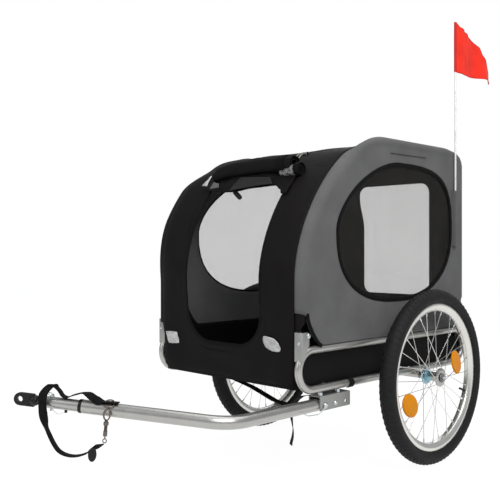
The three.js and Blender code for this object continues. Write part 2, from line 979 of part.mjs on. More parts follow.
const poleY = panelOuterY + clearance + sleeveDepth / 2;
{
  const bore = poleDiameter / 2 + clearance;
  const sleeve = cut(
    block(
      [poleX - sleeveWidth / 2, panelOuterY + clearance, sleeveBottom],
      [poleX + sleeveWidth / 2, panelOuterY + clearance + sleeveDepth, sleeveTop],
    ),
    rod(
      v(poleX, poleY, sleeveBottom + sleeveFloorThickness),
      v(poleX, poleY, sleeveTop + overrun),
      bore,
      12,
    ),
  );
  add("flag_sleeve", sleeve, blackCloth);
  const bottom = sleeveBottom + sleeveFloorThickness + clearance;
  add("flag_pole", rod(v(poleX, poleY, bottom), v(poleX, poleY, poleTop), poleDiameter / 2, 10), whiteRod);

  const cloth = new THREE.BoxGeometry(1, 1, 1, 14, 4, 1);
  const place = cloth.attributes.position;
  for (let i = 0; i < place.count; i += 1) {
    const along = 1 / 2 - place.getX(i);
    const up = place.getY(i) + 1 / 2;
    const through = place.getZ(i);
    const top = poleTop - flagTopDrop - flagTipDrop * along ** 2.6 * 0.99;
    const base = poleTop - flagTopDrop - flagHeight + flagThickness * along;
    const fold = Math.sin(2 * Math.PI * flagFolds * along) * flagFoldDepth * along ** 0.5;
    place.setXYZ(
      i,
      poleX - poleDiameter / 2 - flagHemGap - flagLength * along,
      poleY + fold * (1 - 0.3 * up) + through * flagThickness,
      base + (top - base) * up,
    );
  }
  add("flag", cloth, redCloth);
}

// Wheels, each carried by a quick-release axle in the end of the axle beam

// The tyre is open towards the rim, and its two beads sit on the rim's edges
function tyre() {
  const section = tyreWidth / 2;
  const centre = wheelRadius - section;
  const profile = [];
  for (const [radius, steps, way] of [
    [section, 10, 1],
    [section - tyreThickness, 8, -1],
  ]) {
    for (let k = 0; k <= steps; k += 1) {
      const angle = way * tyreOpening * (1 - (2 * k) / steps);
      const r = Math.max(centre + radius * Math.cos(angle), rimRadius + clearance);
      profile.push([r, radius * Math.sin(angle)]);
    }
  }
  return spunRing(profile, rimSegments);
}

function rim() {
  const half = rimWidth / 2;
  const floor = rimInnerRadius;
  const shoulderRadius = rimInnerRadius + rimDepth / 3;
  return spunRing(
    [
      [rimRadius, -half],
      [rimRadius, half],
      [shoulderRadius, half],
      [floor, half / 3],
      [floor, -half / 3],
      [shoulderRadius, -half],
    ],
    rimSegments,
  );
}

const hubOuterFlangeY = hubOuterReach - hubFlangeThickness / 3;

function hubShell() {
  const bore = axleDiameter / 2 + clearance;
  const boss = hubBossDiameter / 2;
  const body = hubBodyDiameter / 2;
  const outer = hubOuterFlangeDiameter / 2;
  const inner = hubInnerFlangeDiameter / 2;
  return spunRing(
    [
      [bore, -hubInnerReach],
      [boss, -hubInnerReach],
      [boss, -hubInnerFlangeReach],
      [inner, -hubInnerFlangeReach],
      [inner, -hubInnerFlangeReach + hubFlangeThickness],
      [body, -hubInnerFlangeReach + 2 * hubFlangeThickness],
      [body, hubOuterFlangeY - 2 * hubFlangeThickness],
      [outer, hubOuterFlangeY - hubFlangeThickness],
      [outer, hubOuterFlangeY],
      [boss, hubOuterFlangeY],
      [boss, hubOuterReach],
      [bore, hubOuterReach],
    ],
    20,
  );
}

// Spokes run from each flange to the middle of the rim, leading and trailing in turn,
// the leading ones a little farther out so that crossing spokes pass each other
function spokedHub() {
  const parts = [];
  const pitch = (2 * Math.PI) / spokesPerFlange;
  const spokeTurn = THREE.MathUtils.degToRad(spokeStartAngle);
  const rimEnd = rimInnerRadius * Math.cos(Math.PI / rimSegments) - 2 * clearance;
  const flanges = [
    [hubOuterFlangeY - hubFlangeThickness / 2, 0, spokeRimOffset],
    [-hubInnerFlangeReach + hubFlangeThickness / 2, 1 / 2, -spokeRimOffset],
  ];
  for (const [y, phase, rimY] of flanges) {
    for (let k = 0; k < spokesPerFlange; k += 1) {
      const rimAngle = spokeTurn + (k + phase) * pitch;
      const lead = k % 2 === 0 ? 1 : -1;
      const hubAngle = rimAngle + lead * spokeCrossings * pitch;
      const shift = lead * spokeStagger;
      parts.push(
        rod(
          v(spokeSeatRadius * Math.cos(hubAngle), y + shift, spokeSeatRadius * Math.sin(hubAngle)),
          v(rimEnd * Math.cos(rimAngle), rimY + shift, rimEnd * Math.sin(rimAngle)),
          spokeDiameter / 2,
          5,
        ),
      );
    }
  }
  return join(hubShell(), ...parts);
}

// An oval lens that lies on the outer spokes, its long side square to them
function reflector(radius, angle) {
  const count = 20;
  const outline = [];
  for (let k = 0; k < count; k += 1) {
    const a = (2 * Math.PI * k) / count;
    outline.push([(reflectorWidth / 2) * Math.cos(a), (reflectorLength / 2) * Math.sin(a)]);
  }
  const flangeY = hubOuterFlangeY - hubFlangeThickness / 2;
  const run = rimInnerRadius - spokeSeatRadius;
  const slope = Math.atan((flangeY - spokeRimOffset) / run);
  const spokeY = flangeY - (radius - spokeSeatRadius) * Math.tan(slope);
  const lift = spokeDiameter / 2 + spokeStagger - clearance;
  const lens = slabAcross(outline, 0, reflectorThickness);
  lens.rotateZ(-slope);
  lens.translate(radius, spokeY + lift / Math.cos(slope), 0);
  lens.rotateY(-THREE.MathUtils.degToRad(angle));
  return lens;
}

// Shaft with a collar against the beam's end and a head against the hub, drilled for the button
function axle() {
  const shaft = axleDiameter / 2;
  const collar = axleCollarDiameter / 2;
  const head = axleHeadDiameter / 2;
  const bore = buttonDiameter / 2 + clearance;
  const beamEnd = axleBeamLength / 2 - track / 2 + clearance;
  const headStart = hubOuterReach + clearance;
  const headEnd = headStart + axleHeadThickness;
  const boreEnd = headEnd + buttonReach - buttonLength - buttonTravel - 2 * clearance;
  return spun(
    [
      [0, beamEnd - axleInsertion],
      [shaft, beamEnd - axleInsertion],
      [shaft, beamEnd],
      [collar, beamEnd],
      [collar, -hubInnerReach - clearance],
      [shaft, -hubInnerReach - clearance],
      [shaft, headStart],
      [head, headStart],
      [head, headEnd],
      [bore, headEnd],
      [bore, boreEnd],
      [0, boreEnd],
    ],
    16,
  );
}

function releaseButton() {
  const headEnd = hubOuterReach + clearance + axleHeadThickness;
  const radius = buttonDiameter / 2;
  return spun(
    [
      [0, headEnd + buttonReach - buttonLength],
      [radius, headEnd + buttonReach - buttonLength],
      [radius, headEnd + buttonReach],
      [0, headEnd + buttonReach],
    ],
    12,
  );
}

for (const [side, s] of sides) {
  const wheel = new THREE.Group();
  wheel.position.set(0, (s * track) / 2, wheelRadius);
  wheel.rotation.z = s > 0 ? 0 : Math.PI;
  trailer.add(wheel);
  add(`tyre_${side}`, tyre(), blackRubber, wheel);
  add(`rim_${side}`, rim(), rimAlloy, wheel);
  add(`spoked_hub_${side}`, spokedHub(), zinc, wheel);
  add(`axle_${side}`, axle(), zinc, wheel);
  add(`release_button_${side}`, releaseButton(), zinc, wheel);
  add(`front_reflector_${side}`, reflector(reflectorFrontRadius, reflectorFrontAngle), orangeLens, wheel);
  add(`rear_reflector_${side}`, reflector(reflectorRearRadius, reflectorRearAngle), orangeLens, wheel);
}

// Drawbar channel under the left rail, open below, with holes for the pivot and the lock pin

const channelInnerWidth = drawbarDiameter + 2 * clearance;
const channelOuterY = railY + channelBoltHeadDiameter / 2 + clearance;
const channelInnerY = channelOuterY - channelInnerWidth;
const drawbarY = (channelInnerY + channelOuterY) / 2;
const drawbarZ = channelTop - channelPivotDrop;
const lockX = channelPivotX + channelHolePitch;

{
  const y0 = channelInnerY - channelThickness;
  const y1 = channelOuterY + channelThickness;
  const body = cut(
    block([channelRearX, y0, channelTop - channelDepth], [channelFrontX, y1, channelTop]),
    block(
      [channelRearX - overrun, channelInnerY, channelTop - channelDepth - overrun],
      [channelFrontX + overrun, channelOuterY, channelTop - channelThickness],
    ),
  );
  const sideHoles = [-1, 0, 1].map((k) =>
    rod(
      v(channelPivotX + k * channelHolePitch, y0 - overrun, drawbarZ),
      v(channelPivotX + k * channelHolePitch, y1 + overrun, drawbarZ),
      lockPinDiameter / 2 + clearance,
      12,
    ),
  );
  const topHoles = channelBoltX.map((x) =>
    rod(
      v(x, channelBoltY, channelTop - 2 * channelThickness),
      v(x, channelBoltY, channelTop + overrun),
      channelBoltDiameter / 2 + clearance,
      12,
    ),
  );
  add("hitch_channel", cut(body, ...sideHoles, ...topHoles), greyPlate);
}

// Shoulder bolts hang the channel under the rail
channelBoltX.forEach((x, i) => {
  const shank = channelBoltDiameter / 2;
  const head = channelBoltHeadDiameter / 2;
  const railBottom = railLowerHeight - railRadius;
  const headTop = channelTop - channelThickness - clearance;
  const bolt = spun(
    [
      [0, headTop - channelBoltHeadHeight],
      [head, headTop - channelBoltHeadHeight],
      [head, headTop],
      [shank, headTop],
      [shank, channelTop + clearance],
      [head, channelTop + clearance],
      [head, railBottom - clearance],
      [shank, railBottom - clearance],
      [shank, railBottom + channelBoltDepth],
      [0, railBottom + channelBoltDepth],
    ],
    12,
  );
  bolt.rotateX(Math.PI / 2);
  const mesh = add(i === 0 ? "channel_bolt_front" : "channel_bolt_rear", bolt, zinc);
  mesh.position.set(x, channelBoltY, 0);
});

{
  const inside = channelInnerY - channelThickness - clearance - drawbarY;
  const outside = channelOuterY + channelThickness + clearance - drawbarY;
  const bolt = add("drawbar_pivot_bolt", pivotRivet(inside, outside), zinc);
  bolt.position.set(channelPivotX, drawbarY, drawbarZ);
}

// The lock pin and the wire that keeps it in
{
  const shank = lockPinDiameter / 2;
  const head = lockPinHeadDiameter / 2;
  const start = channelInnerY - channelThickness - overrun - drawbarY;
  const seat = channelOuterY + channelThickness + clearance - drawbarY;
  const pin = spun(
    [
      [0, start],
      [shank, start],
      [shank, seat],
      [head, seat],
      [head, seat + lockPinHeadHeight / 2],
      [shank, seat + lockPinHeadHeight],
      [0, seat + lockPinHeadHeight],
    ],
    12,
  );
  const wireY = seat + lockPinHeadHeight / 2;
  const drop = drawbarRadius + lockWireDiameter;
  const wire = tube(
    rounded(
      [
        [v(0, wireY, 0), 0],
        [v(head, wireY, -drop / 2), head],
        [v(lockWireReach / 3, wireY, -drop), drop],
        [v((lockWireReach * 3) / 4, wireY, -drop + lockWireDiameter), drop],
        [v(lockWireReach, wireY, -drawbarRadius / 3), 0],
      ],
      15,
    ),
    lockWireDiameter / 2,
    6,
  );
  const mesh = add("drawbar_lock_pin", join(pin, wire), zinc);
  mesh.position.set(lockX, drawbarY, drawbarZ);
}

// Drawbar: runs forward beside the trailer, then bends in and rises a little to the hitch

const turn = THREE.MathUtils.degToRad(drawbarTurn);
const rise = THREE.MathUtils.degToRad(drawbarRise);
const legForward = v(
  Math.cos(turn) * Math.cos(rise),
  Math.sin(turn) * Math.cos(rise),
  Math.sin(rise),
);
const legSide = v(-Math.sin(turn), Math.cos(turn), 0);
const legUp = legForward.clone().cross(legSide);
const bendPoint = v(drawbarBendX, drawbarY, drawbarZ);

// A point given along the second leg, to its left side and above it
function onLeg(along, side, up) {
  return bendPoint
    .clone()
    .addScaledVector(legForward, along)
    .addScaledVector(legSide, side)
    .addScaledVector(legUp, up);
}

const leg = new THREE.Group();
leg.matrixAutoUpdate = false;
leg.matrix.makeBasis(legForward, legSide, legUp).setPosition(bendPoint);
leg.matrix.decompose(leg.position, leg.quaternion, leg.scale);
leg.matrixAutoUpdate = true;
trailer.add(leg);

{
  const line = rounded(
    [
      [v(channelPivotX - drawbarEndOverhang, drawbarY, drawbarZ), 0],
      [bendPoint, drawbarBendRadius],
      [onLeg(drawbarOuterLength, 0, 0), 0],
    ],
    7,
  );
  const y = drawbarDiameter;
  const holes = [channelPivotX, lockX].map((x) =>
    rod(
      v(x, drawbarY - y, drawbarZ),
      v(x, drawbarY + y, drawbarZ),
      lockPinDiameter / 2 + clearance,
      12,
    ),
  );
  const bore = rod(
    onLeg(drawbarOuterLength - hitchTubeInsertion, 0, 0),
    onLeg(drawbarOuterLength + overrun, 0, 0),
    hitchTubeDiameter / 2 + clearance,
    20,
  );
  add("drawbar_tube", cut(tube(line, drawbarRadius, 14), ...holes, bore), silverTube);
}

const hitchTubeStart = drawbarOuterLength - hitchTubeInsertion + clearance;
const hitchTubeEnd = drawbarOuterLength + hitchTubeLength;
const pinStation = hitchTubeEnd - hitchPinSetback;
const ballStation = hitchTubeEnd + hitchBallDiameter / 2 + hitchNeckDiameter;
const eyeStation = ballStation + couplerEyeReach;

// The end tube turns in the drawbar and carries a ball on a short neck
{
  const outside = hitchTubeDiameter / 2;
  const collar = hitchCollarDiameter / 2;
  const neck = hitchNeckDiameter / 2;
  const ball = hitchBallDiameter / 2;
  const collarStart = drawbarOuterLength + clearance;
  const profile = [
    [0, hitchTubeStart],
    [outside, hitchTubeStart],
    [outside, collarStart],
    [collar, collarStart],
    [collar, collarStart + hitchCollarLength],
    [outside, collarStart + hitchCollarLength],
    [outside, hitchTubeEnd],
    [neck, hitchTubeEnd],
  ];
  const steps = 6;
  const first = Math.asin(neck / ball);
  for (let k = 0; k <= steps; k += 1) {
    const angle = Math.PI - first - ((Math.PI - first) * k) / steps;
    profile.push([ball * Math.sin(angle), ballStation + ball * Math.cos(angle)]);
  }
  const body = spun(profile, 16);
  body.applyMatrix4(alongX);
  const hole = rod(
    v(pinStation, 0, -hitchTubeDiameter),
    v(pinStation, 0, hitchTubeDiameter),
    hitchPinDiameter / 2 + clearance,
    12,
  );
  add("hitch_end_tube", cut(body, hole), silverTube, leg);
}

// The coupler: a flat link with a hole for the bicycle's axle and a socket round the ball
{
  const radius = couplerHeight / 2;
  const outline = [];
  const steps = 8;
  for (let k = 0; k <= steps; k += 1) {
    const angle = -Math.PI / 2 + (Math.PI * k) / steps;
    outline.push([eyeStation + radius * Math.cos(angle), radius * Math.sin(angle)]);
  }
  outline.push([ballStation, radius], [ballStation, -radius]);
  const half = couplerThickness / 2;
  const link = slabAcross(outline, -half, half);
  const housing = new THREE.SphereGeometry(couplerSocketDiameter / 2, 14, 8);
  housing.translate(ballStation, 0, 0);
  const cavity = new THREE.SphereGeometry(hitchBallDiameter / 2 + 2 * clearance, 14, 10);
  cavity.translate(ballStation, 0, 0);
  const mouth = new THREE.CylinderGeometry(
    hitchNeckDiameter * (7 / 6),
    hitchNeckDiameter * (2 / 3),
    couplerSocketDiameter / 2 + overrun,
    16,
  );
  mouth.rotateZ(Math.PI / 2);
  mouth.translate(ballStation - (couplerSocketDiameter / 2 + overrun) / 2, 0, 0);
  const eye = rod(
    v(eyeStation, -couplerHeight, 0),
    v(eyeStation, couplerHeight, 0),
    couplerHoleDiameter / 2,
    20,
  );
  add("hitch_coupler", cut(join(link, housing), cavity, mouth, eye), blackPlastic, leg);
}

// The hitch pin: a flat head above the tube, with a pull ring that lies beside it
{
  const radius = hitchPinDiameter / 2;
  const reach = hitchTubeDiameter / 2 + hitchPinOverhang;
  const seat = hitchTubeDiameter / 2 + clearance;
  const top = seat + hitchPinHeadHeight;
  const shank = rod(v(pinStation, 0, -reach), v(pinStation, 0, top), radius, 12);
  const head = rod(v(pinStation, 0, seat), v(pinStation, 0, top), hitchPinHeadDiameter / 2, 12);
  const ring = new THREE.TorusGeometry(hitchPinRingDiameter / 2, hitchPinRingWire / 2, 6, 16);
  ring.translate(hitchPinRingDiameter / 2, 0, 0);
  ring.rotateY(-THREE.MathUtils.degToRad(hitchPinRingTilt));
  ring.translate(pinStation - hitchPinDiameter / 2, 0, top);
  add("hitch_pin", join(shank, head, ring), zinc, leg);
}

// Safety strap: a ring on the drawbar, webbing that hangs in a bow, a tag and a snap hook

const ringStation = drawbarOuterLength - ringSetback;
const ringAngle = THREE.MathUtils.degToRad(ringLean);
const ringOut = drawbarRadius + ringWire / 2 + clearance;
const ringNear = ringDiameter / 2;
const ringSide = ringOut * Math.cos(ringAngle) + ringNear * Math.sin(ringAngle);
const ringUp = ringOut * Math.sin(ringAngle) - ringNear * Math.cos(ringAngle);

{
  const ring = new THREE.TorusGeometry(ringDiameter / 2, ringWire / 2, 6, 18);
  ring.rotateX(ringAngle - Math.PI / 2);
  ring.translate(ringStation, ringOut * Math.cos(ringAngle), ringOut * Math.sin(ringAngle));
  add("strap_ring", ring, zinc, leg);
}

const hookLoopTop = ringUp - hookEyeDiameter / 2 - clearance;
const hookBarrelTop = hookLoopTop - hookLoopHeight;
const hookBarrelBottom = hookBarrelTop - hookBarrelLength;
const hookCollarBottom = hookBarrelBottom - hookCollarLength;
const hookSwivelCentre = hookCollarBottom - hookNeckLength - hookSwivelDiameter / 2;
const hookRoot = v(ringStation, ringSide, 0);

{
  const corners = [];
  const count = 14;
  for (let k = 0; k < count; k += 1) {
    const angle = (2 * Math.PI * k) / count;
    const across = (hookLoopWidth / 2) * Math.cos(angle);
    const rise = (hookLoopHeight / 2) * Math.sin(angle);
    corners.push(v(across, 0, hookLoopTop - hookLoopHeight / 2 + rise));
  }
  const oval = new THREE.CatmullRomCurve3(corners, true);
  const loop = new THREE.TubeGeometry(oval, count, hookWire / 2, 6, true);
  const eye = new THREE.TorusGeometry(hookEyeDiameter / 2, hookEyeWire / 2, 6, 12);
  eye.rotateY(Math.PI / 2);
  eye.translate(0, 0, ringUp);
  const barrel = rod(v(0, 0, hookBarrelTop), v(0, 0, hookBarrelBottom), hookBarrelDiameter / 2, 12);
  const collar = rod(v(0, 0, hookBarrelBottom), v(0, 0, hookCollarBottom), hookCollarDiameter / 2, 12);
  const neck = rod(
    v(0, 0, hookBarrelBottom),
    v(0, 0, hookCollarBottom - hookNeckLength),
    hookNeckDiameter / 2,
    8,
  );
  const swivel = new THREE.TorusGeometry(hookSwivelDiameter / 2, hookSwivelWire / 2, 6, 14);
  swivel.rotateX(Math.PI / 2);
  swivel.translate(0, 0, hookSwivelCentre);
  const mesh = add("snap_hook", join(loop, eye, barrel, collar, neck, swivel), zinc, leg);
  mesh.position.copy(hookRoot);

  const hollow = hookBarrelDiameter / 2 + clearance;
  const sleeveTopZ = hookBarrelTop - hookSleeveDrop;
  const sleeve = spunRing(
    [
      [hollow, sleeveTopZ - hookSleeveLength],
      [hookSleeveDiameter / 2, sleeveTopZ - hookSleeveLength],
      [hookSleeveDiameter / 2, sleeveTopZ],
      [hollow, sleeveTopZ],
    ],
    12,
  );
  sleeve.rotateX(Math.PI / 2);
  const bolt = add("snap_hook_bolt", sleeve, zinc, leg);
  bolt.position.copy(hookRoot);
}

// Route of the strap on the second leg, read off the photo: beyond the outer tube's end, to the
// side, above, and how the webbing lies: flat across the leg, leaning to its left, or facing sideways
const strapRoute = [
  [-48.5, 5, 17.6, "flat"],
  [-35, 9, 20, "lean"],
  [-23, 6, 25, "lean"],
  [-2, 2, 31.6, "flat"],
  [13, 0, 27.7, "flat"],
  [28, 0, 21.9, "flat"],
  [39, 0, 15.3, "flat"],
  [50, 0, 19, "flat"],
  [57.5, 0, 28, "flat"],
  [65.5, 2, 36.3, "flat"],
  [74, 7, 44.2, "turn"],
  [83, 15, 35.5, "face"],
  [89.5, 22, 22.2, "face"],
  [89.5, 24, 8.4, "face"],
  [87, 24, -12.6, "face"],
  [82.5, 24, -31.6, "face"],
  [74.5, 24, -52, "turn"],
  [64.5, 24, -70.2, "turn"],
  [52.7, 24, -88.3, "flat"],
  [40.8, 23, -102.1, "flat"],
  [25.8, 22, -109.3, "flat"],
  [7.6, 21, -111.3, "flat"],
  [-10.4, 21, -107.6, "flat"],
  [-28, 21, -99.2, "flat"],
  [-43.3, 21, -87.6, "flat"],
  [-55.5, 21, -76.5, "flat"],
];
const acrossLeg = {
  flat: v(0, 1, 0),
  lean: v(0, 2, -3).normalize(),
  turn: v(1, 1, 0).normalize(),
  face: v(1, 0, 0),
};
const strapPoints = strapRoute.map(([x, y, z]) => v(drawbarOuterLength + x * mm, y * mm, z * mm));
const strapAcross = strapRoute.map(([, , , lie]) => acrossLeg[lie]);
add("safety_strap", webbing(strapPoints, strapAcross, strapWidth, strapThickness), blackWebbing, leg);

{
  const count = 16;
  const outline = [];
  for (let k = 0; k < count; k += 1) {
    const a = (2 * Math.PI * k) / count;
    outline.push([(tagWidth / 2) * Math.cos(a), (tagLength / 2) * Math.sin(a)]);
  }
  const tag = slabAcross(outline, 0, tagThickness);
  const mesh = add("strap_tag", tag, blackPlastic, leg);
  const bow = strapPoints[strapPoints.length - 3];
  mesh.position.set(drawbarOuterLength - tagSetback, bow.y + strapWidth / 2 + clearance, -tagDrop);
}

// Strap under the floor from rail to rail, with its adjusting buckle and hanging tail.

const railUnder = railLowerHeight - railRadius - clearance - floorStrapThickness / 2;
// Shares of the way from the right rail's end to the left one's, of the rail's Y, and of the sag
const floorStrapShares = [
  [0, -1, 0],
  [0.151, -0.709, 0.254],
  [0.377, -0.317, 0.415],
  [0.548, 0.011, 0.576],
  [0.685, 0.228, 0.737],
  [0.788, 0.414, 0.927],
  [0.856, 0.522, 1],
  [0.897, 0.657, 1],
  [0.932, 0.78, 0.898],
  [0.966, 0.851, 0.488],
  [0.986, 0.918, 0.167],
  [1, 1, 0],
];
const floorStrapPoints = floorStrapShares.map(([along, across, sag]) =>
  v(
    floorStrapRightX + (floorStrapLeftX - floorStrapRightX) * along,
    railY * across,
    railUnder - floorStrapSag * sag,
  ),
);
const floorAcross = floorStrapPoints.map(() => v(1, -0.3, 0).normalize());
add(
  "underfloor_strap",
  webbing(floorStrapPoints, floorAcross, floorStrapWidth, floorStrapThickness),
  blackWebbing,
);

{
  const clear = floorStrapThickness / 2 + clearance;
  const body = block(
    [-buckleWidth / 2, -buckleLength / 2, -buckleThickness - clear],
    [buckleWidth / 2, buckleLength / 2, -clear],
  );
  const mesh = add("strap_buckle", body, blackPlastic);
  mesh.position.copy(floorStrapPoints[7]);
  mesh.rotation.z = THREE.MathUtils.degToRad(buckleTurn);
  const tailTop = mesh.position.z - buckleThickness - clear - 2 * clearance;
  const reach = v(0, buckleLength * 0.42, 0).applyEuler(mesh.rotation);
  const tailPoints = [0, 1, 2, 3, 4, 5].map((k) =>
    v(
      mesh.position.x + reach.x - (floorStrapThickness * Math.floor(k / 2)) / 4,
      mesh.position.y + reach.y,
      tailTop - (tailDrop * k) / 5,
    ),
  );
  const tailAcross = tailPoints.map(() => v(1, 0.8, 0).normalize());
  add("strap_tail", webbing(tailPoints, tailAcross, floorStrapWidth, floorStrapThickness), blackWebbing);
}

// The origin goes under the middle of the trailer's box
const bounds = new THREE.Box3().setFromObject(trailer, true);
const middle = bounds.getCenter(v(0, 0, 0));
trailer.position.set(-middle.x, -middle.y, -bounds.min.z);
trailer.updateMatrixWorld(true);

export default trailer;
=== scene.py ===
import bisect
import math

import bmesh
import bpy
from mathutils import Matrix, Vector, noise


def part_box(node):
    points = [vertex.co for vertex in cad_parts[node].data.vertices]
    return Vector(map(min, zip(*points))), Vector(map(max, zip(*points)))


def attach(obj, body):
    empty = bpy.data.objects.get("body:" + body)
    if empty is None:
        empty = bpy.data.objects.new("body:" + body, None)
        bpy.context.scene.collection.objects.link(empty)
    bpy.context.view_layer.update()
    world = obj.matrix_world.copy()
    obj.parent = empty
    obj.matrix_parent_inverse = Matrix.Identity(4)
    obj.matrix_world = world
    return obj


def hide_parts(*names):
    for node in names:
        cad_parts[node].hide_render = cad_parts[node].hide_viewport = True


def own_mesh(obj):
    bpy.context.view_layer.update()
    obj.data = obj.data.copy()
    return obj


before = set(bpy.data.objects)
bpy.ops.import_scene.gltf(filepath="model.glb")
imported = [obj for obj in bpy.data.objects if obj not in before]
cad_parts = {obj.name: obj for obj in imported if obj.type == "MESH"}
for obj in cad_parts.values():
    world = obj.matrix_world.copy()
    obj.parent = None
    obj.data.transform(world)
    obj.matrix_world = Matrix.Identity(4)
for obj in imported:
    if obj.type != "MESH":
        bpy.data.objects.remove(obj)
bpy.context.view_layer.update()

# Places are given in millimetres from the point on the ground under the axle:
# x forward, y to the trailer's left, z up. at() turns them into the frame's metres.
axleX = sum(corner.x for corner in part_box("axle_beam")) / 2
sides = (("left", 1), ("right", -1))


def at(x, y, z):
    return Vector((x / 1000 + axleX, y / 1000, z / 1000))


# Camera

cameraSetup = {"place": (1899.7, 1488.8, 615.8), "turn": 134.99, "tilt": 89.94, "lens": 54.07}


def makeCamera(setup):
    data = bpy.data.cameras.new("photoCamera")
    data.lens = setup["lens"]
    data.sensor_width = 36
    data.clip_start = 0.05
    data.clip_end = 60
    camera = bpy.data.objects.new("photoCamera", data)
    camera.location = at(*setup["place"])
    camera.rotation_euler = (math.radians(setup["tilt"]), 0, math.radians(setup["turn"]))
    bpy.context.scene.collection.objects.link(camera)
    bpy.context.scene.camera = camera


makeCamera(cameraSetup)
print("camera placed")


# Shader maths: a wrapped socket that adds its own Math nodes

class Value:
    def __init__(self, paint, socket):
        self.paint = paint
        self.socket = socket

    def math(self, operation, *others):
        values = dict(enumerate((self,) + others))
        return self.paint.node("ShaderNodeMath", {"operation": operation}, values)

    def reflected(self, operation, first):
        return self.paint.node("ShaderNodeMath", {"operation": operation}, {0: first, 1: self})

    def __add__(self, other):
        return self.math("ADD", other)

    def __radd__(self, other):
        return self.reflected("ADD", other)

    def __sub__(self, other):
        return self.math("SUBTRACT", other)

    def __rsub__(self, other):
        return self.reflected("SUBTRACT", other)

    def __mul__(self, other):
        return self.math("MULTIPLY", other)

    def __rmul__(self, other):
        return self.reflected("MULTIPLY", other)

    def __truediv__(self, other):
        return self.math("DIVIDE", other)

    def __gt__(self, other):
        return self.math("GREATER_THAN", other)

    def __lt__(self, other):
        return self.math("LESS_THAN", other)


# An sRGB colour from 0 to 255, made linear and lighter or darker
def shade(color, factor=1.0):
    shares = [c / 255 for c in color]
    return tuple(factor * (s / 12.92 if s <= 0.04 else ((s + 0.055) / 1.055) ** 2.4) for s in shares)


# One material: a Principled shader, and a method that makes any other node
class Paint:
    def __init__(self, name, slot=None, **fixed):
        self.material = bpy.data.materials.new(name)
        self.material.use_nodes = True
        self.tree = self.material.node_tree
        self.shader = self.tree.nodes["Principled BSDF"]
        for socket, value in fixed.items():
            self.shader.inputs[socket.replace("_", " ")].default_value = value

    def node(self, kind, settings=None, values=None, output=0):
        made = self.tree.nodes.new(kind)
        for name, value in (settings or {}).items():
            if name == "stops":
                self.setStops(made.color_ramp, value)
            else:
                setattr(made, name, value)
        for socket, value in (values or {}).items():
            if isinstance(value, Value):
                self.tree.links.new(value.socket, made.inputs[socket])
            else:
                made.inputs[socket].default_value = value
        return Value(self, made.outputs[output])

    def setStops(self, ramp, stops):
        while len(ramp.elements) < len(stops):
            ramp.elements.new(0.5)
        for element, (position, color) in zip(ramp.elements, stops):
            element.position = position
            element.color = color

    def drive(self, socket, value):
        self.tree.links.new(value.socket, self.shader.inputs[socket])

    def place(self, scale=(1, 1, 1)):
        coords = self.node("ShaderNodeTexCoord", output="Object")
        return self.node("ShaderNodeMapping", {"vector_type": "TEXTURE"}, {"Vector": coords, "Scale": scale})

    def clothMap(self):
        return self.node("ShaderNodeUVMap", {"uv_map": "cloth"})

    def parts(self, vector):
        split = self.tree.nodes.new("ShaderNodeSeparateXYZ")
        self.tree.links.new(vector.socket, split.inputs[0])
        return [Value(self, split.outputs[i]) for i in range(3)]

    def noise(self, vector, size, detail=2.0, roughness=0.5):
        values = {"Vector": vector, "Scale": 1 / size, "Detail": detail, "Roughness": roughness}
        return self.node("ShaderNodeTexNoise", {"noise_dimensions": "3D"}, values)

    # A sine wave along a value, with the given wave length
    def wave(self, value, length):
        return (value * (2 * math.pi / length)).math("SINE")

    def ramp(self, factor, *stops):
        full = [(position, tuple(color) + (1,)) for position, color in stops]
        return self.node("ShaderNodeValToRGB", {"stops": full}, {"Fac": factor})

    def range(self, value, fromLow, fromHigh, toLow, toHigh):
        values = {"Value": value, "From Min": fromLow, "From Max": fromHigh}
        values.update({"To Min": toLow, "To Max": toHigh})
        return self.node("ShaderNodeMapRange", {"clamp": True}, values)

    def bump(self, height, strength, distance, below=None):
        values = {"Strength": strength, "Distance": distance, "Height": height}
        if below:
            values["Normal"] = below
        return self.node("ShaderNodeBump", {}, values)

    # Base Color from a darker to a lighter shade of one colour
    def tint(self, value, color, dark, light, low=0.3, high=0.7):
        self.drive("Base Color", self.ramp(value, (low, shade(color, dark)), (high, shade(color, light))))

    def rough(self, value, low, high):
        self.drive("Roughness", self.range(value, 0.3, 0.7, low, high))

    def relief(self, height, strength, distance, below=None):
        self.drive("Normal", self.bump(height, strength, distance, below))

    # Height of a plain weave of threads with the given pitch in metres
    def weave(self, pitch):
        u, w, _ = self.parts(self.clothMap())
        across, along = self.wave(u, 2 * pitch), self.wave(w, 2 * pitch)
        over = (across * along) > 0
        return across.math("ABSOLUTE") * over + along.math("ABSOLUTE") * (1 - over)


def clothPaint(name, slot, color, pitch, sheen, roughness, wrinkle=0.0015):
    paint = Paint(name, slot, Sheen_Weight=sheen, Sheen_Roughness=0.4, Specular_IOR_Level=0.07)
    threads = paint.weave(pitch)
    place = paint.place()
    blotch = paint.noise(place, 0.09, 3)
    mixed = blotch * 0.6 + paint.noise(place, 0.004, 2) * 0.25 + threads * 0.15
    paint.tint(mixed, color, 0.78, 1.2, 0.25, 0.75)
    paint.rough(blotch, roughness - 0.06, roughness + 0.06)
    soft = paint.bump(paint.noise(place, 0.05, 4, 0.6), 0.35, wrinkle)
    paint.relief(threads, 0.25, pitch * 0.25, soft)
    return paint.material


def meshPaint(name, color, pitch, coverage):
    paint = Paint(name, "mesh_cloth", Roughness=0.7)
    u, w, _ = paint.parts(paint.clothMap())
    wire = 1 - math.sqrt(1 - coverage)
    cellU = (u / pitch).math("FRACT")
    cellW = (w / pitch).math("FRACT")
    threads = (cellU < wire).math("MAXIMUM", cellW < wire)
    paint.tint(paint.noise(paint.place(), 0.05, 2), color, 0.8, 1.2)
    paint.drive("Alpha", threads * 0.9 + 0.02)
    return paint.material


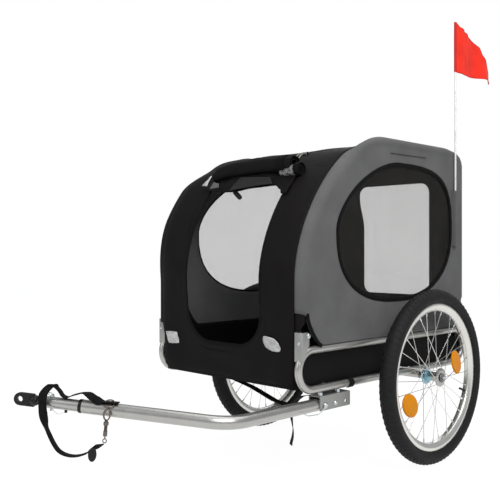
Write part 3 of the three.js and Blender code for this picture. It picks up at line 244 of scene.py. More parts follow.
def metalPaint(name, slot, color, roughness, metallic):
    paint = Paint(name, slot, Metallic=metallic)
    place = paint.place()
    blotch = paint.noise(place, 0.03, 3)
    paint.tint(blotch, color, 0.95, 1.03)
    paint.rough(blotch, roughness - 0.02, roughness + 0.03)
    paint.relief(paint.noise(place, 0.004, 2), 0.3, 0.00002)
    return paint.material


# The hub's inner half has a bluish plating and its outer half a plain one
def hubPaint(name, inner, outer, border):
    paint = Paint(name, "zinc", Metallic=0.9)
    place = paint.place()
    _, y, _ = paint.parts(place)
    out = paint.range(y.math("ABSOLUTE"), border - 0.002, border + 0.002, 0, 1)
    stain = paint.noise(place, 0.006, 3)
    plating = [(0.06, shade(inner, 0.8)), (0.18, shade(inner))]
    plating += [(0.8, shade(outer)), (0.96, shade(outer, 1.15))]
    paint.drive("Base Color", paint.ramp(out * 0.8 + stain * 0.2, *plating))
    paint.rough(stain, 0.22, 0.38)
    paint.relief(paint.noise(place, 0.0005, 2), 0.3, 0.00002)
    return paint.material


def plasticPaint(name, slot, color, roughness, coat=0.0):
    paint = Paint(name, slot, Specular_IOR_Level=0.3, Coat_Weight=coat)
    place = paint.place()
    blotch = paint.noise(place, 0.02, 2)
    paint.tint(blotch, color, 0.85, 1.12)
    paint.rough(blotch, roughness - 0.05, roughness + 0.08)
    paint.relief(paint.noise(place, 0.0006, 2), 0.35, 0.00004)
    return paint.material


# Ribbed webbing: fine ribs across the width, and rows along it
def webbingPaint(name, color):
    paint = Paint(name, "webbing", Roughness=0.75, Sheen_Weight=0.01, Specular_IOR_Level=0.1)
    u, w, _ = paint.parts(paint.clothMap())
    height = paint.wave(w, 0.0016) * 0.6 + paint.wave(u, 0.0022) * 0.4
    paint.tint(paint.noise(paint.place(), 0.02, 3) + height * 0.1, color, 0.7, 1.35)
    paint.relief(height, 0.5, 0.0002)
    return paint.material


def lensPaint(name, color):
    coat = {"Coat_Weight": 0.03, "Coat_Roughness": 0.3}
    paint = Paint(name, "orange_lens", Roughness=0.4, Specular_IOR_Level=0.12, **coat)
    x, _, z = paint.parts(paint.place())
    prisms = paint.wave(x + z, 0.004) * paint.wave(x - z, 0.004)
    paint.tint(paint.range(prisms, -0.8, 0.8, 0, 1), color, 0.72, 1.08, 0.1, 0.9)
    paint.relief(prisms, 0.35, 0.0005)
    return paint.material


def rubberPaint(name, color):
    paint = Paint(name, "tyre_rubber", Specular_IOR_Level=0.2)
    place = paint.place()
    dust = paint.noise(place, 0.02, 4, 0.65)
    paint.tint(dust, color, 0.75, 1.5, 0.3, 0.75)
    paint.rough(dust, 0.55, 0.78)
    paint.relief(paint.noise(place, 0.0012, 2), 0.4, 0.0001)
    return paint.material


def flagPaint(name, color):
    paint = Paint(name, "red_cloth", Roughness=0.7, Sheen_Weight=0.05, Specular_IOR_Level=0.2)
    threads = paint.weave(0.0012)
    paint.tint(paint.noise(paint.place(), 0.05, 3) + threads * 0.1, color, 0.85, 1.08, 0.3, 0.75)
    paint.relief(threads, 0.25, 0.0002)
    return paint.material


def filmPaint(name):
    paint = Paint(name, "black_plastic", Roughness=0.12, Specular_IOR_Level=0.6)
    crinkle = paint.noise(paint.place(), 0.012, 4, 0.6)
    paint.drive("Base Color", paint.ramp(crinkle, (0.3, (0.3, 0.3, 0.3)), (0.7, (0.7, 0.71, 0.71))))
    paint.drive("Alpha", paint.range(crinkle, 0.35, 0.65, 0.12, 0.5))
    paint.relief(crinkle, 0.6, 0.003)
    return paint.material


def reflectivePaint(name):
    paint = Paint(name, "black_plastic", Roughness=0.28, Coat_Weight=0.5, Coat_Roughness=0.1)
    _, y, z = paint.parts(paint.place())
    grid = paint.wave(y + z, 0.0035) * paint.wave(y - z, 0.0035)
    mixed = grid * 0.2 + paint.noise(paint.place(), 0.012, 3)
    paint.drive("Base Color", paint.ramp(mixed, (0.2, (0.36, 0.36, 0.35)), (0.8, (0.66, 0.67, 0.65))))
    paint.relief(grid, 0.3, 0.0004)
    return paint.material


def boardPaint(name, color):
    paint = Paint(name, "board", Roughness=0.8)
    fibre = paint.noise(paint.place(scale=(1, 0.12, 1)), 0.006, 4, 0.6)
    paint.tint(fibre, color, 0.8, 1.15)
    paint.relief(fibre, 0.2, 0.0003)
    return paint.material


blackCloth = clothPaint("blackCloth", "black_cloth", (22, 20, 21), 0.0011, 0.012, 0.56)
greyCloth = clothPaint("greyCloth", "grey_cloth", (98, 98, 98), 0.0011, 0.05, 0.8)
bindingTape = clothPaint("bindingTape", "black_cloth", (17, 16, 17), 0.0009, 0.01, 0.66, 0.0004)
flapCloth = clothPaint("flapCloth", "black_cloth", (44, 43, 42), 0.0011, 0.02, 0.5)
seamThread = clothPaint("seamThread", "grey_cloth", (60, 60, 60), 0.0011, 0.02, 0.7)
sideMesh = meshPaint("sideMesh", (46, 44, 41), 0.0024, 0.3)
rearMesh = meshPaint("rearMesh", (104, 99, 90), 0.0024, 0.05)
silverTube = metalPaint("silverTube", "silver_tube", (182, 181, 177), 0.3, 0.85)
silverPlate = metalPaint("silverPlate", "grey_plate", (160, 161, 158), 0.42, 0.7)
zincPlate = metalPaint("zincPlate", "zinc", (196, 203, 206), 0.28, 0.95)
hubZinc = hubPaint("hubZinc", (150, 192, 206), (168, 166, 163), 0.335)
warmSteel = metalPaint("warmSteel", "zinc", (112, 105, 97), 0.26, 0.95)
axleSteel = metalPaint("axleSteel", "zinc", (112, 114, 116), 0.34, 0.85)
rimAlloy = metalPaint("rimAlloy", "rim_alloy", (222, 221, 216), 0.27, 0.85)
spokeSteel = metalPaint("spokeSteel", "zinc", (222, 222, 220), 0.22, 0.9)
blackRubber = rubberPaint("blackRubber", (28, 28, 28))
orangeLens = lensPaint("orangeLens", (240, 150, 6))
blackPlastic = plasticPaint("blackPlastic", "black_plastic", (16, 16, 17), 0.34)
blackWebbing = webbingPaint("blackWebbing", (19, 19, 20))
elasticCord = webbingPaint("elasticCord", (150, 146, 138))
whiteRod = plasticPaint("whiteRod", "white_rod", (236, 236, 232), 0.38, coat=0.2)
redFlag = flagPaint("redFlag", (246, 48, 30))
redHem = flagPaint("redHem", (206, 38, 26))
clearFilm = filmPaint("clearFilm")
reflectiveTab = reflectivePaint("reflectiveTab")
floorBoardPaint = boardPaint("floorBoardPaint", (70, 70, 72))
print("materials made")


# Mesh helpers

def finishMesh(name, shape, material, smooth=True, sharpAngle=40):
    mesh = bpy.data.meshes.new(name)
    shape.to_mesh(mesh)
    shape.free()
    piece = bpy.data.objects.new(name, mesh)
    bpy.context.scene.collection.objects.link(piece)
    mesh.materials.append(material)
    if smooth:
        mesh.shade_smooth()
        mesh.set_sharp_from_angle(angle=math.radians(sharpAngle))
    return piece


# Puts a new piece on its body, and hides the nodes it stands for
def mount(piece, body, *nodes):
    if nodes:
        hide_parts(*nodes)
    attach(piece, body)
    return piece


# Turns corners with bend radii, in millimetres, into a smooth line of places
def bentLine(corners, stepAngle=7.5):
    points = []

    def push(p):
        if not points or (points[-1] - p).length > 0.05:
            points.append(p)

    for i, (corner, radius) in enumerate(corners):
        corner = Vector(corner)
        if not radius or i in (0, len(corners) - 1):
            push(corner)
            continue
        back = (Vector(corners[i - 1][0]) - corner).normalized()
        ahead = (Vector(corners[i + 1][0]) - corner).normalized()
        half = back.angle(ahead) / 2
        turn = math.pi - 2 * half
        start = corner + back * (radius / math.tan(half))
        centre = corner + (back + ahead).normalized() * (radius / math.sin(half))
        axis = ahead.cross(back).normalized()
        steps = max(2, round(math.degrees(turn) / stepAngle))
        for k in range(steps + 1):
            arm = Matrix.Rotation(turn * k / steps, 3, axis) @ (start - centre)
            push(centre + arm)
    return points


# A round tube along a line of places in metres
def tubeMesh(name, places, radius, material, closedLoop=False, sides=6):
    curve = bpy.data.curves.new(name, "CURVE")
    curve.dimensions = "3D"
    curve.bevel_depth = radius / 1000
    curve.bevel_resolution = sides
    curve.use_fill_caps = not closedLoop
    line = curve.splines.new("POLY")
    line.points.add(len(places) - 1)
    for point, place in zip(line.points, places):
        point.co = (*place, 1)
    line.use_cyclic_u = closedLoop
    piece = bpy.data.objects.new(name + "Line", curve)
    bpy.context.scene.collection.objects.link(piece)
    bpy.context.view_layer.update()
    mesh = bpy.data.meshes.new_from_object(piece.evaluated_get(bpy.context.evaluated_depsgraph_get()))
    bpy.data.objects.remove(piece)
    bpy.data.curves.remove(curve)
    mesh.name = name
    mesh.materials.clear()
    mesh.materials.append(material)
    piece = bpy.data.objects.new(name, mesh)
    bpy.context.scene.collection.objects.link(piece)
    mesh.shade_smooth()
    mesh.set_sharp_from_angle(angle=math.radians(50))
    return piece


# A profile of (radius, height) pairs in millimetres, spun round the Z axis, then put in place
def spinProfile(profile, steps=48, closedRing=False, matrix=None):
    shape = bmesh.new()
    corners = [shape.verts.new((r / 1000, 0, h / 1000)) for r, h in profile]
    edges = [shape.edges.new(pair) for pair in zip(corners, corners[1:])]
    if closedRing:
        edges.append(shape.edges.new((corners[-1], corners[0])))
    turn = {"cent": (0, 0, 0), "axis": (0, 0, 1), "angle": math.tau, "steps": steps}
    bmesh.ops.spin(shape, geom=corners + edges, use_merge=True, **turn)
    bmesh.ops.remove_doubles(shape, verts=shape.verts, dist=1e-6)
    bmesh.ops.recalc_face_normals(shape, faces=shape.faces)
    if matrix:
        shape.transform(matrix)
    return shape


# The turn that takes Z to a direction, and a place to go to
def aim(direction, place):
    turn = Vector((0, 0, 1)).rotation_difference(Vector(direction).normalized())
    return Matrix.Translation(place) @ turn.to_matrix().to_4x4()


def addShape(target, part, matrix=None):
    if matrix is not None:
        part.transform(matrix)
    holder = bpy.data.meshes.new("holder")
    part.to_mesh(holder)
    part.free()
    target.from_mesh(holder)
    bpy.data.meshes.remove(holder)


def bevelAll(shape, width, segments=2, edges=None, affect="EDGES"):
    geom = list(shape.edges) if edges is None else list(edges)
    bmesh.ops.bevel(
        shape, geom=geom, offset=width / 1000, segments=segments, profile=0.5, affect=affect, material=-1
    )


# A cube stretched between two corners in metres
def blockShape(low, high):
    shape = bmesh.new()
    bmesh.ops.create_cube(shape, size=1)
    bmesh.ops.scale(shape, vec=[h - l for l, h in zip(low, high)], verts=shape.verts)
    bmesh.ops.translate(shape, vec=[(h + l) / 2 for l, h in zip(low, high)], verts=shape.verts)
    return shape


# A block between two corners in millimetres, with its edges rounded
def roundBlock(low, high, edge):
    shape = blockShape([l / 1000 for l in low], [h / 1000 for h in high])
    bevelAll(shape, edge)
    return shape


def addModifier(piece, kind, name, **settings):
    modifier = piece.modifiers.new(name, kind)
    for key, value in settings.items():
        setattr(modifier, key, value)


def applyModifiers(piece):
    bpy.context.view_layer.update()
    made = bpy.data.meshes.new_from_object(piece.evaluated_get(bpy.context.evaluated_depsgraph_get()))
    old = piece.data
    piece.modifiers.clear()
    piece.data = made
    made.name = old.name
    bpy.data.meshes.remove(old)


# A copy of a CAD node's mesh with its flat faces joined and its edges rounded
def refined(name, node, material, body, edge, angle, segments=2):
    shape = bmesh.new()
    shape.from_mesh(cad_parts[node].data)
    bmesh.ops.remove_doubles(shape, verts=shape.verts, dist=1e-6)
    flat = math.radians(1)
    bmesh.ops.dissolve_limit(
        shape, angle_limit=flat, verts=shape.verts, edges=shape.edges, use_dissolve_boundaries=False
    )
    piece = finishMesh(name, shape, material, sharpAngle=angle)
    if edge:
        sharp = {"limit_method": "ANGLE", "angle_limit": math.radians(angle), "use_clamp_overlap": True}
        addModifier(piece, "BEVEL", "edges", width=edge / 1000, segments=segments, **sharp)
        applyModifiers(piece)
    mount(piece, body, node)


# Base frame

base = {
    "railY": 268,
    "railRadius": 10,
    "railTop": 363,
    "railBottom": 263,
    "railFront": 510,
    "railRear": -278,
    "tubeZ": 263,
    "crossTubes": {"front_cross_tube": 400, "rear_cross_tube": -222},
    "axleZ": 250,
    "beamHalf": 290,
    "webX": {1: 512, -1: -288.3},
    "bracketWidth": 26.6,
    "bracketDepth": 28,
    "bracketBottom": 338,
    "bracketTop": 410,
    "cutZ": 379,
    "cutSlope": (-36.2, 0, -19.5),
    "plate": 3,
    "rivetZ": 401,
    "rivets": (("front", 487, 240.1, 281.6), ("rear", -258, 254.4, 281.6)),
}


def makeRails(sizes):
    low, high = sizes["railBottom"], sizes["railTop"]
    front, rear, bend = sizes["railFront"], sizes["railRear"], (high - low) / 2
    for side, way in sides:
        y = way * sizes["railY"]
        corners = [((x, y, z), bend) for x, z in ((front, low), (front, high), (rear, high), (rear, low))]
        corners = [((0, y, low), 0)] + corners + [((-1, y, low), 0)]
        places = [at(*p) for p in bentLine(corners)]
        piece = tubeMesh(f"railLoop_{side}", places, sizes["railRadius"], silverTube, closedLoop=True)
        mount(piece, "trailer", f"side_frame_{side}")


def makeCrossTubes(sizes):
    z, half = sizes["tubeZ"], sizes["railY"] - sizes["railRadius"] + 2
    for node, x in sizes["crossTubes"].items():
        mount(tubeMesh(node + "_round", [at(x, -half, z), at(x, half, z)], 10, silverTube), "trailer", node)


def makeAxleBeam(sizes):
    r, half = 10, sizes["beamHalf"]
    profile = [(6.3, -half), (r - 0.6, -half), (r, -half + 0.6)]
    profile += [(r, half - 0.6), (r - 0.6, half), (6.3, half)]
    shape = spinProfile(profile, 40, closedRing=True, matrix=aim((0, 1, 0), at(0, 0, sizes["axleZ"])))
    mount(finishMesh("axleBeamTube", shape, silverTube), "trailer", "axle_beam")


# A pressed channel: the web faces the trailer's end and two plates straddle the rail
def makeBracket(end, name, side, way, sizes):
    half, webX = sizes["bracketWidth"] / 2, sizes["webX"][end]
    innerX, y = webX - end * sizes["bracketDepth"], way * sizes["railY"]
    low = (min(webX, innerX), y - half, sizes["bracketBottom"])
    high = (max(webX, innerX), y + half, sizes["bracketTop"])
    shape = bmesh.new()
    bmesh.ops.create_cube(shape, size=1)
    bmesh.ops.scale(shape, vec=[(h - l) / 1000 for l, h in zip(low, high)], verts=shape.verts)
    centre = at(*[(h + l) / 2 for l, h in zip(low, high)])
    bmesh.ops.translate(shape, vec=centre, verts=shape.verts)
    openFaces = [f for f in shape.faces if abs(f.normal.z) > 0.5 or f.normal.x * end < -0.5]
    bmesh.ops.delete(shape, geom=openFaces, context="FACES")
    webEdge = at(webX, 0, 0).x
    freeCorners = [v for v in shape.verts if abs(v.co.x - webEdge) > 1e-5]
    folds = [e for e in shape.edges if not set(e.verts) & set(freeCorners) and len(e.link_faces) == 2]
    bevelAll(shape, 8, 5, freeCorners, "VERTICES")
    bevelAll(shape, 3.5, 4, [e for e in folds if e.is_valid])
    if end > 0:
        outside = at(0, y + way * half, 0).y
        flange = [f for f in shape.faces if all(abs(v.co.y - outside) < 1e-5 for v in f.verts)]
        parts = set(flange) | {e for f in flange for e in f.edges} | {v for f in flange for v in f.verts}
        slope = Vector(sizes["cutSlope"]).normalized()
        cut = at(innerX, 0, sizes["cutZ"])
        bmesh.ops.bisect_plane(shape, geom=list(parts), plane_co=cut, plane_no=slope, clear_outer=True)
    piece = finishMesh(f"{name}HoopBracket_{side}", shape, silverPlate)
    addModifier(piece, "SOLIDIFY", "plate", thickness=sizes["plate"] / 1000, offset=-1)
    addModifier(piece, "BEVEL", "edges", width=0.0005, segments=2, limit_method="ANGLE")
    applyModifiers(piece)
    mount(piece, "trailer", f"{name}_bracket_{side}")


# A rivet between two places along one axis, with a domed head at each end
def addRivet(name, middle, axis, shank, head, length, rise, steps, *nodes):
    dome = [(0, 1), (0.55, 0.92), (0.86, 0.6), (1, 0.15), (0.98, 0)]
    profile = [(head * r, -length / 2 - rise * h) for r, h in dome]
    profile += [(shank, -length / 2), (shank, length / 2)]
    profile += [(head * r, length / 2 + rise * h) for r, h in reversed(dome)]
    shape = spinProfile(profile, steps, matrix=aim(axis, middle))
    mount(finishMesh(name, shape, zincPlate), "trailer", *nodes)


def makeRivets(sizes):
    for side, way in sides:
        for end, x, inner, outer in sizes["rivets"]:
            middle = at(x, way * (inner + outer) / 2, sizes["rivetZ"])
            node = f"{end}_pivot_rivet_{side}"
            addRivet(f"{end}PivotRivet_{side}", middle, (0, 1, 0), 4, 6.5, outer - inner, 3.2, 28, node)
        addRivet(f"webRivet_{side}", at(511, way * 270.7, 383.1), (1, 0, 0), 2.6, 4.6, 3.0, 2.0, 24)


makeRails(base)
makeCrossTubes(base)
makeAxleBeam(base)
for bracketSide, bracketWay in sides:
    makeBracket(1, "front", bracketSide, bracketWay, base)
    makeBracket(-1, "rear", bracketSide, bracketWay, base)
makeRivets(base)
print("base frame made")


# Cabin outline: a line of (x, z, outward x, outward z) by the distance along it from the front bottom

cabin = {
    "front": 508,
    "rear": -286,
    "roof": 926,
    "bottom": 273.3,
    "rearBend": 50,
    "halfWidth": 275.8,
    "cornerRadius": 24,
    "sideBottom": 373.5,
    "cloth": 2.2,
}


def bezier(t):
    corners = [(508, 540), (508, 700), (330, 926), (150, 926)]
    weights = [(1 - t) ** 3, 3 * (1 - t) ** 2 * t, 3 * (1 - t) * t * t, t ** 3]
    return [sum(w * c[i] for w, c in zip(weights, corners)) for i in range(2)]


def makeOutline(sizes):
    line = [(sizes["front"], sizes["bottom"] + 2 * k) for k in range(0, 133)]
    line += [tuple(bezier(k / 120)) for k in range(0, 121)]
    bend = sizes["rearBend"]
    x = 146
    while x > sizes["rear"] + bend:
        line.append((x, sizes["roof"]))
        x -= 4
    for k in range(0, 25):
        a = math.pi / 2 + math.pi / 2 * k / 24
        line.append((
            sizes["rear"] + bend + bend * math.cos(a),
            sizes["roof"] - bend + bend * math.sin(a),
        ))
    z = sizes["roof"] - bend - 4
    while z > sizes["bottom"]:
        line.append((sizes["rear"], z))
        z -= 4
    line.append((sizes["rear"], sizes["bottom"]))
    table = []
    run = 0
    for i, (x, z) in enumerate(line):
        a = line[max(i - 1, 0)]
        b = line[min(i + 1, len(line) - 1)]
        length = math.hypot(b[0] - a[0], b[1] - a[1])
        if i:
            run += math.hypot(x - line[i - 1][0], z - line[i - 1][1])
        table.append((run, x, z, (b[1] - a[1]) / length, -(b[0] - a[0]) / length))
    return table


outline = makeOutline(cabin)
outlineLength = outline[-1][0]
runs = [row[0] for row in outline]
flatHalf = cabin["halfWidth"] - cabin["cornerRadius"]


def onOutline(run):
    run = min(max(run, 0), outlineLength)
    low = min(bisect.bisect_right(runs, run), len(outline) - 1) - 1
    a, b = outline[low], outline[low + 1]
    share = (run - a[0]) / max(b[0] - a[0], 1e-9)
    x, z, nx, nz = [a[i] + (b[i] - a[i]) * share for i in range(1, 5)]
    length = math.hypot(nx, nz)
    return x, z, nx / length, nz / length


# The distance along the outline at which it first reaches a height
def runAtHeight(height):
    return next(row[0] for row in outline if row[2] >= height)


roofEnd = runAtHeight(925.5) + 380


def smooth(value, low, high):
    t = min(max((value - low) / (high - low), 0), 1)
    return t * t * (3 - 2 * t)


# How far the stretched cloth stands out of the straight outline, in millimetres
def crown(run, across):
    side = min(abs(across) / flatHalf, 1)
    front = 17 * smooth(run, 60, 260) * (1 - smooth(run, 560, 720))
    roof = -20 * smooth(run, 620, 820) * (1 - smooth(run, 1130, 1230))
    rear = 6 * smooth(run, 1260, 1400) * (1 - smooth(run, outlineLength - 240, outlineLength - 60))
    return (front + roof + rear) * (1 - side ** 2.2)


# How far the cloth stands out beside the corners: the hoop presses it out at the front, most on the
# right, and on the roof it falls away inside each side panel's edge
def swell(run, across, angle=0.0):
    reach = abs(across)
    press = (10 + 17 * smooth(run, 240, 430)) * (1 - smooth(run, 520, 660))
    above = smooth(run, 660, 780) * (1 - smooth(run, 1150, 1240))
    if across < 0:
        front = press * smooth(reach, 150, 238) * (1 - smooth(angle, 0.5, 1.57))
        lip = -15 * smooth(reach, 100, 235) * (1 - smooth(angle, 0.7, 1.5)) - 5 * math.sin(2 * angle)
    else:
        front = press * 0.35 * smooth(reach, 150, 205) * (1 - smooth(reach, 212, flatHalf - 4))
        lip = 10 * math.sin(2 * angle) ** 2 - 13 * smooth(reach, 100, 235) * (1 - smooth(angle, 0, 0.6))
    return front + above * lip


def wrinkle(place, size, depth, seed=0):
    return depth * noise.noise(Vector((place[0] / size + seed, place[1] / size, place[2] / size)))


# A place on the cabin's skin: run is the distance along the outline, across is the distance to the
# side from the middle, round the corner and down the side wall. Depth sinks it below the skin.
def onSkin(run, across, depth=0.0):
    x, z, nx, nz = onOutline(run)
    radius, flat = cabin["cornerRadius"], flatHalf
    side = 1 if across >= 0 else -1
    reach = abs(across)
    if reach <= flat:
        y, sink = reach, depth - crown(run, across) - swell(run, across)
    elif reach <= flat + radius * math.pi / 2:
        angle = (reach - flat) / radius
        far = radius - depth + swell(run, across, angle)
        y = flat + far * math.sin(angle)
        sink = radius - far * math.cos(angle)
    else:
        y, sink = cabin["halfWidth"] - depth, reach - flat - radius * (math.pi / 2 - 1)
    x, z = x - nx * sink, z - nz * sink
    return Vector((x, side * y, z))


# The distance along the outline at which a place a little above the cloth reaches a height
def runOnSkin(height, across, out):
    run = runAtHeight(height)
    for _ in range(4):
        run += (height - onSkin(run, across, -out).z) / max(onOutline(run)[2], 0.3)
    return run


# Moves a sheet's vertex to its place, and keeps its place on the flat cloth
def putVert(vert, keys, placed):
    where, u, w = placed
    vert.co = at(*where)
    vert[keys] = (u / 1000, w / 1000, 0)


def finishSheet(name, shape, clothMap, keys, material, flip):
    for face in shape.faces:
        for loop in face.loops:
            loop[clothMap].uv = loop.vert[keys][:2]
    if flip:
        bmesh.ops.reverse_faces(shape, faces=shape.faces)
    return finishMesh(name, shape, material, sharpAngle=60)


# A sheet made of rings: the first ring is a circle of vertices moved to its outline, and each next
# ring is extruded from the one before. place(i, ring) gives a place in millimetres and its cloth map.
def ringSheet(name, count, rings, place, material, flip=False, closeMiddle=False, closeStart=False):
    shape = bmesh.new()
    clothMap = shape.loops.layers.uv.new("cloth")
    keys = shape.verts.layers.float_vector.new("flat")
    bmesh.ops.create_circle(shape, cap_ends=False, radius=1, segments=count)
    shape.verts.ensure_lookup_table()
    ring = firstRing = list(shape.verts)
    for number in range(rings):
        if number:
            edges = []
            for a, b in zip(ring, ring[1:] + ring[:1]):
                edges.append(next(e for e in a.link_edges if e.other_vert(a) is b))
            made = bmesh.ops.extrude_edge_only(shape, edges=edges)["geom"]
            fresh = {v for v in made if isinstance(v, bmesh.types.BMVert)}
            ring = [next(e.other_vert(v) for e in v.link_edges if e.other_vert(v) in fresh) for v in ring]
        for i, vert in enumerate(ring):
            putVert(vert, keys, place(i, number))
    for end in [ring] * closeMiddle + [firstRing] * closeStart:
        bmesh.ops.pointmerge(shape, verts=end, merge_co=end[0].co.copy())
    return finishSheet(name, shape, clothMap, keys, material, flip)


# A sheet made of a grid, moved to place(u, w), with u and w from 0 to 1
def gridSheet(name, columns, rows, place, material, flip=False):
    shape = bmesh.new()
    clothMap = shape.loops.layers.uv.new("cloth")
    keys = shape.verts.layers.float_vector.new("flat")
    bmesh.ops.create_grid(shape, x_segments=columns, y_segments=rows, size=0.5)
    for vert in shape.verts:
        putVert(vert, keys, place(vert.co.x + 0.5, vert.co.y + 0.5))
    return finishSheet(name, shape, clothMap, keys, material, flip)


def thicken(piece, thickness, offset=-1):
    addModifier(piece, "SOLIDIFY", "cloth", thickness=thickness / 1000, offset=offset)
    applyModifiers(piece)


foldAnchor = at(0, 0, 373.3)


# Cabin cloth stays on the trailer, with a mesh of its own
def mountCloth(piece, *nodes):
    mount(piece, "trailer", *nodes)
    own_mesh(piece)


def hangCloth(piece, thickness, *nodes, offset=-1):
    thicken(piece, thickness, offset)
    mountCloth(piece, *nodes)


# Side walls

window = {
    "x": 84,
    "z": 665.5,
    "length": 562,
    "height": 383,
    "powers": {"frontTop": 1.64, "frontBottom": 2.6, "rearTop": 3.4, "rearBottom": 2.2},
}
sideCount = 144


def windowPoint(angle, grow=0.0):
    c, d = math.cos(angle), math.sin(angle)
    power = 2 / window["powers"][("front" if c >= 0 else "rear") + ("Top" if d >= 0 else "Bottom")]
    x = window["x"] + (window["length"] / 2 + grow) * math.copysign(abs(c) ** power, c)
    z = window["z"] + (window["height"] / 2 + grow) * math.copysign(abs(d) ** power, d)
    return x, z


# The side wall's edge at the corner's start: (x, z, kind, run)
def sideEdge():
    radius = cabin["cornerRadius"]
    points = []
    low, high = runAtHeight(452), outlineLength - (452 - cabin["bottom"])
    for k in range(221):
        run = low + (high - low) * k / 220
        x, z, nx, nz = onOutline(run)
        points.append((x - nx * radius, z - nz * radius, "wrap", run))
    rearCut = [(-262, 440), (-256, 420), (-246, 402), (-234, 386), (-221, 374)]
    points += [(x, z, "hem", 0) for x, z in rearCut]
    for k in range(1, 60):
        points.append((-221 + (433 + 221) * k / 60, cabin["sideBottom"], "hem", 0))
    frontCut = [(433, 374), (447, 386), (461, 403), (473, 422), (481, 440)]
    points += [(x, z, "hem", 0) for x, z in frontCut]
    return points


sideRim = sideEdge()


# Where a ray from a centre last crosses a closed line: the ends of that piece, how far, and its share
def lastCrossing(points, centre, direction):
    best = None
    for a, b in zip(points, points[1:] + points[:1]):
        ax, ay, bx, by = a[0] - centre[0], a[1] - centre[1], b[0] - centre[0], b[1] - centre[1]
        det = direction[0] * (by - ay) - direction[1] * (bx - ax)
        if abs(det) < 1e-9:
            continue
        far = (ax * (by - ay) - ay * (bx - ax)) / det
        share = (ax * direction[1] - ay * direction[0]) / det
        if far > 0 and -1e-6 <= share <= 1 + 1e-6:
            best = (a, b, far, share)
    return best


def rimPoint(angle):
    cx, cz, c, d = window["x"], window["z"], math.cos(angle), math.sin(angle)
    a, b, far, share = lastCrossing(sideRim, (cx, cz), (c, d))
    kind = a[2] if a[2] == b[2] else "hem"
    run = a[3] + (b[3] - a[3]) * share if kind == "wrap" else 0
    return cx + c * far, cz + d * far, kind, run


windowAngles = []
for i in range(sideCount):
    t = math.tau * i / sideCount
    wx, wz = windowPoint(t)
    windowAngles.append(math.atan2(wz - window["z"], wx - window["x"]))
rimPoints = [rimPoint(a) for a in windowAngles]
innerRings = 9
wrapRings = 8


def wallOut(x, z):
    bulge = 3.0 * math.exp(-((z - 410) / 60) ** 2) * math.sin((x + 40) / 95)
    pull = wrinkle((x, 0, z * 0.6), 120, 2.6) + wrinkle((x, 0, z), 42, 0.9, 5)
    return bulge * 0.5 + pull


def sidePlace(way):
    def place(i, ring):
        angle = math.tau * i / sideCount
        wx, wz = windowPoint(angle)
        rx, rz, kind, run = rimPoints[i]
        if ring < innerRings:
            share = ring / (innerRings - 1)
            x, z = wx + (rx - wx) * share, wz + (rz - wz) * share
            fade = math.sin(math.pi * share)
            y = cabin["halfWidth"] + (wallOut(x, z) - 0.8) * fade
            return (x, way * y, z), x, z
        turn = (ring - innerRings + 1) / wrapRings
        if kind == "wrap":
            across = flatHalf + cabin["cornerRadius"] * math.pi / 2 * (1 - turn)
            where = onSkin(run, way * across)
            out = Vector((rx - wx, 0, rz - wz)).normalized() * turn * cabin["cornerRadius"] * 1.5
            return tuple(where), rx + out.x, rz + out.z
        sink = 9 * math.sin(math.pi / 2 * turn)
        return (rx, way * (cabin["halfWidth"] - sink), rz), rx, rz - 10 * turn
    return place


def makeSideWall(side, way):
    rings = innerRings + wrapRings
    piece = ringSheet(f"greySideWall_{side}", sideCount, rings, sidePlace(way), greyCloth, flip=way < 0)
    hangCloth(piece, cabin["cloth"], f"side_panel_{side}")


# Tape sewn over the window's edge
def makeWindowTape(side, way):
    heights = [(-6, -0.4), (-5.6, 1.6), (-3, 2.8), (0, 3.2), (3, 2.8), (5.6, 1.6), (6, -0.4)]

    def place(i, ring):
        grow, up = heights[ring]
        angle = math.tau * i / sideCount
        x, z = windowPoint(angle, grow)
        up += 0.35 * math.sin(i * 1.7)
        return (x, way * (cabin["halfWidth"] + up), z), grow, 1780 * i / sideCount

    piece = ringSheet(f"windowTape_{side}", sideCount, len(heights), place, bindingTape, flip=way < 0)
    hangCloth(piece, 1.2)


def makeWindowMesh(side, way):
    rings = 9

    def place(i, ring):
        angle = math.tau * i / sideCount
        share = 1 - ring / rings
        ex, ez = windowPoint(angle, 4)
        x = window["x"] + (ex - window["x"]) * share
        z = window["z"] + (ez - window["z"]) * share
        sag = wrinkle((x, 0, z), 190, 1.6, 9) * (1 - share ** 2)
        y = cabin["halfWidth"] - 1.6 + sag
        return (x, way * y, z), x, z

    name = f"windowNet_{side}"
    piece = ringSheet(name, sideCount, rings + 1, place, sideMesh, flip=way > 0, closeMiddle=True)
    hangCloth(piece, 0.5, f"window_mesh_{side}")


# Front wall with its doorway, laid out flat as (distance along the outline, distance across)

door = {"bottom": 361, "top": 802, "halfLow": 142, "halfHigh": 150, "lowRadius": 88, "topRadius": 34}
edgeCount = 132
frontTop = runAtHeight(896)


def betweenPlaces(a, b, share):
    return a[0] + (b[0] - a[0]) * share, a[1] + (b[1] - a[1]) * share


# Places round an opening: each corner is an arc, and each straight run gets places of its own
def roundedLine(corners, steps, turnSteps=12):
    arcs = []
    for across, run, radius, start in corners:
        angles = [math.radians(start + 90 * k / turnSteps) for k in range(turnSteps + 1)]
        arcs.append([(across + radius * math.cos(a), run + radius * math.sin(a)) for a in angles])
    points = []
    for arc, following, count in zip(arcs, arcs[1:] + arcs[:1], steps):
        a, b = arc[-1], following[0]
        points += arc
        points += [betweenPlaces(a, b, k / count) for k in range(1, count)]
    return points


# An opening's line between two runs, given its half width and corner radius at each of them
def openingLine(low, high, atLow, atHigh, steps):
    (narrow, bottom), (wide, top) = atLow, atHigh
    corners = [
        (wide - top, high - top, top, 0),
        (-wide + top, high - top, top, 90),
        (-narrow + bottom, low + bottom, bottom, 180),
        (narrow - bottom, low + bottom, bottom, 270),
    ]
    return roundedLine(corners, steps)


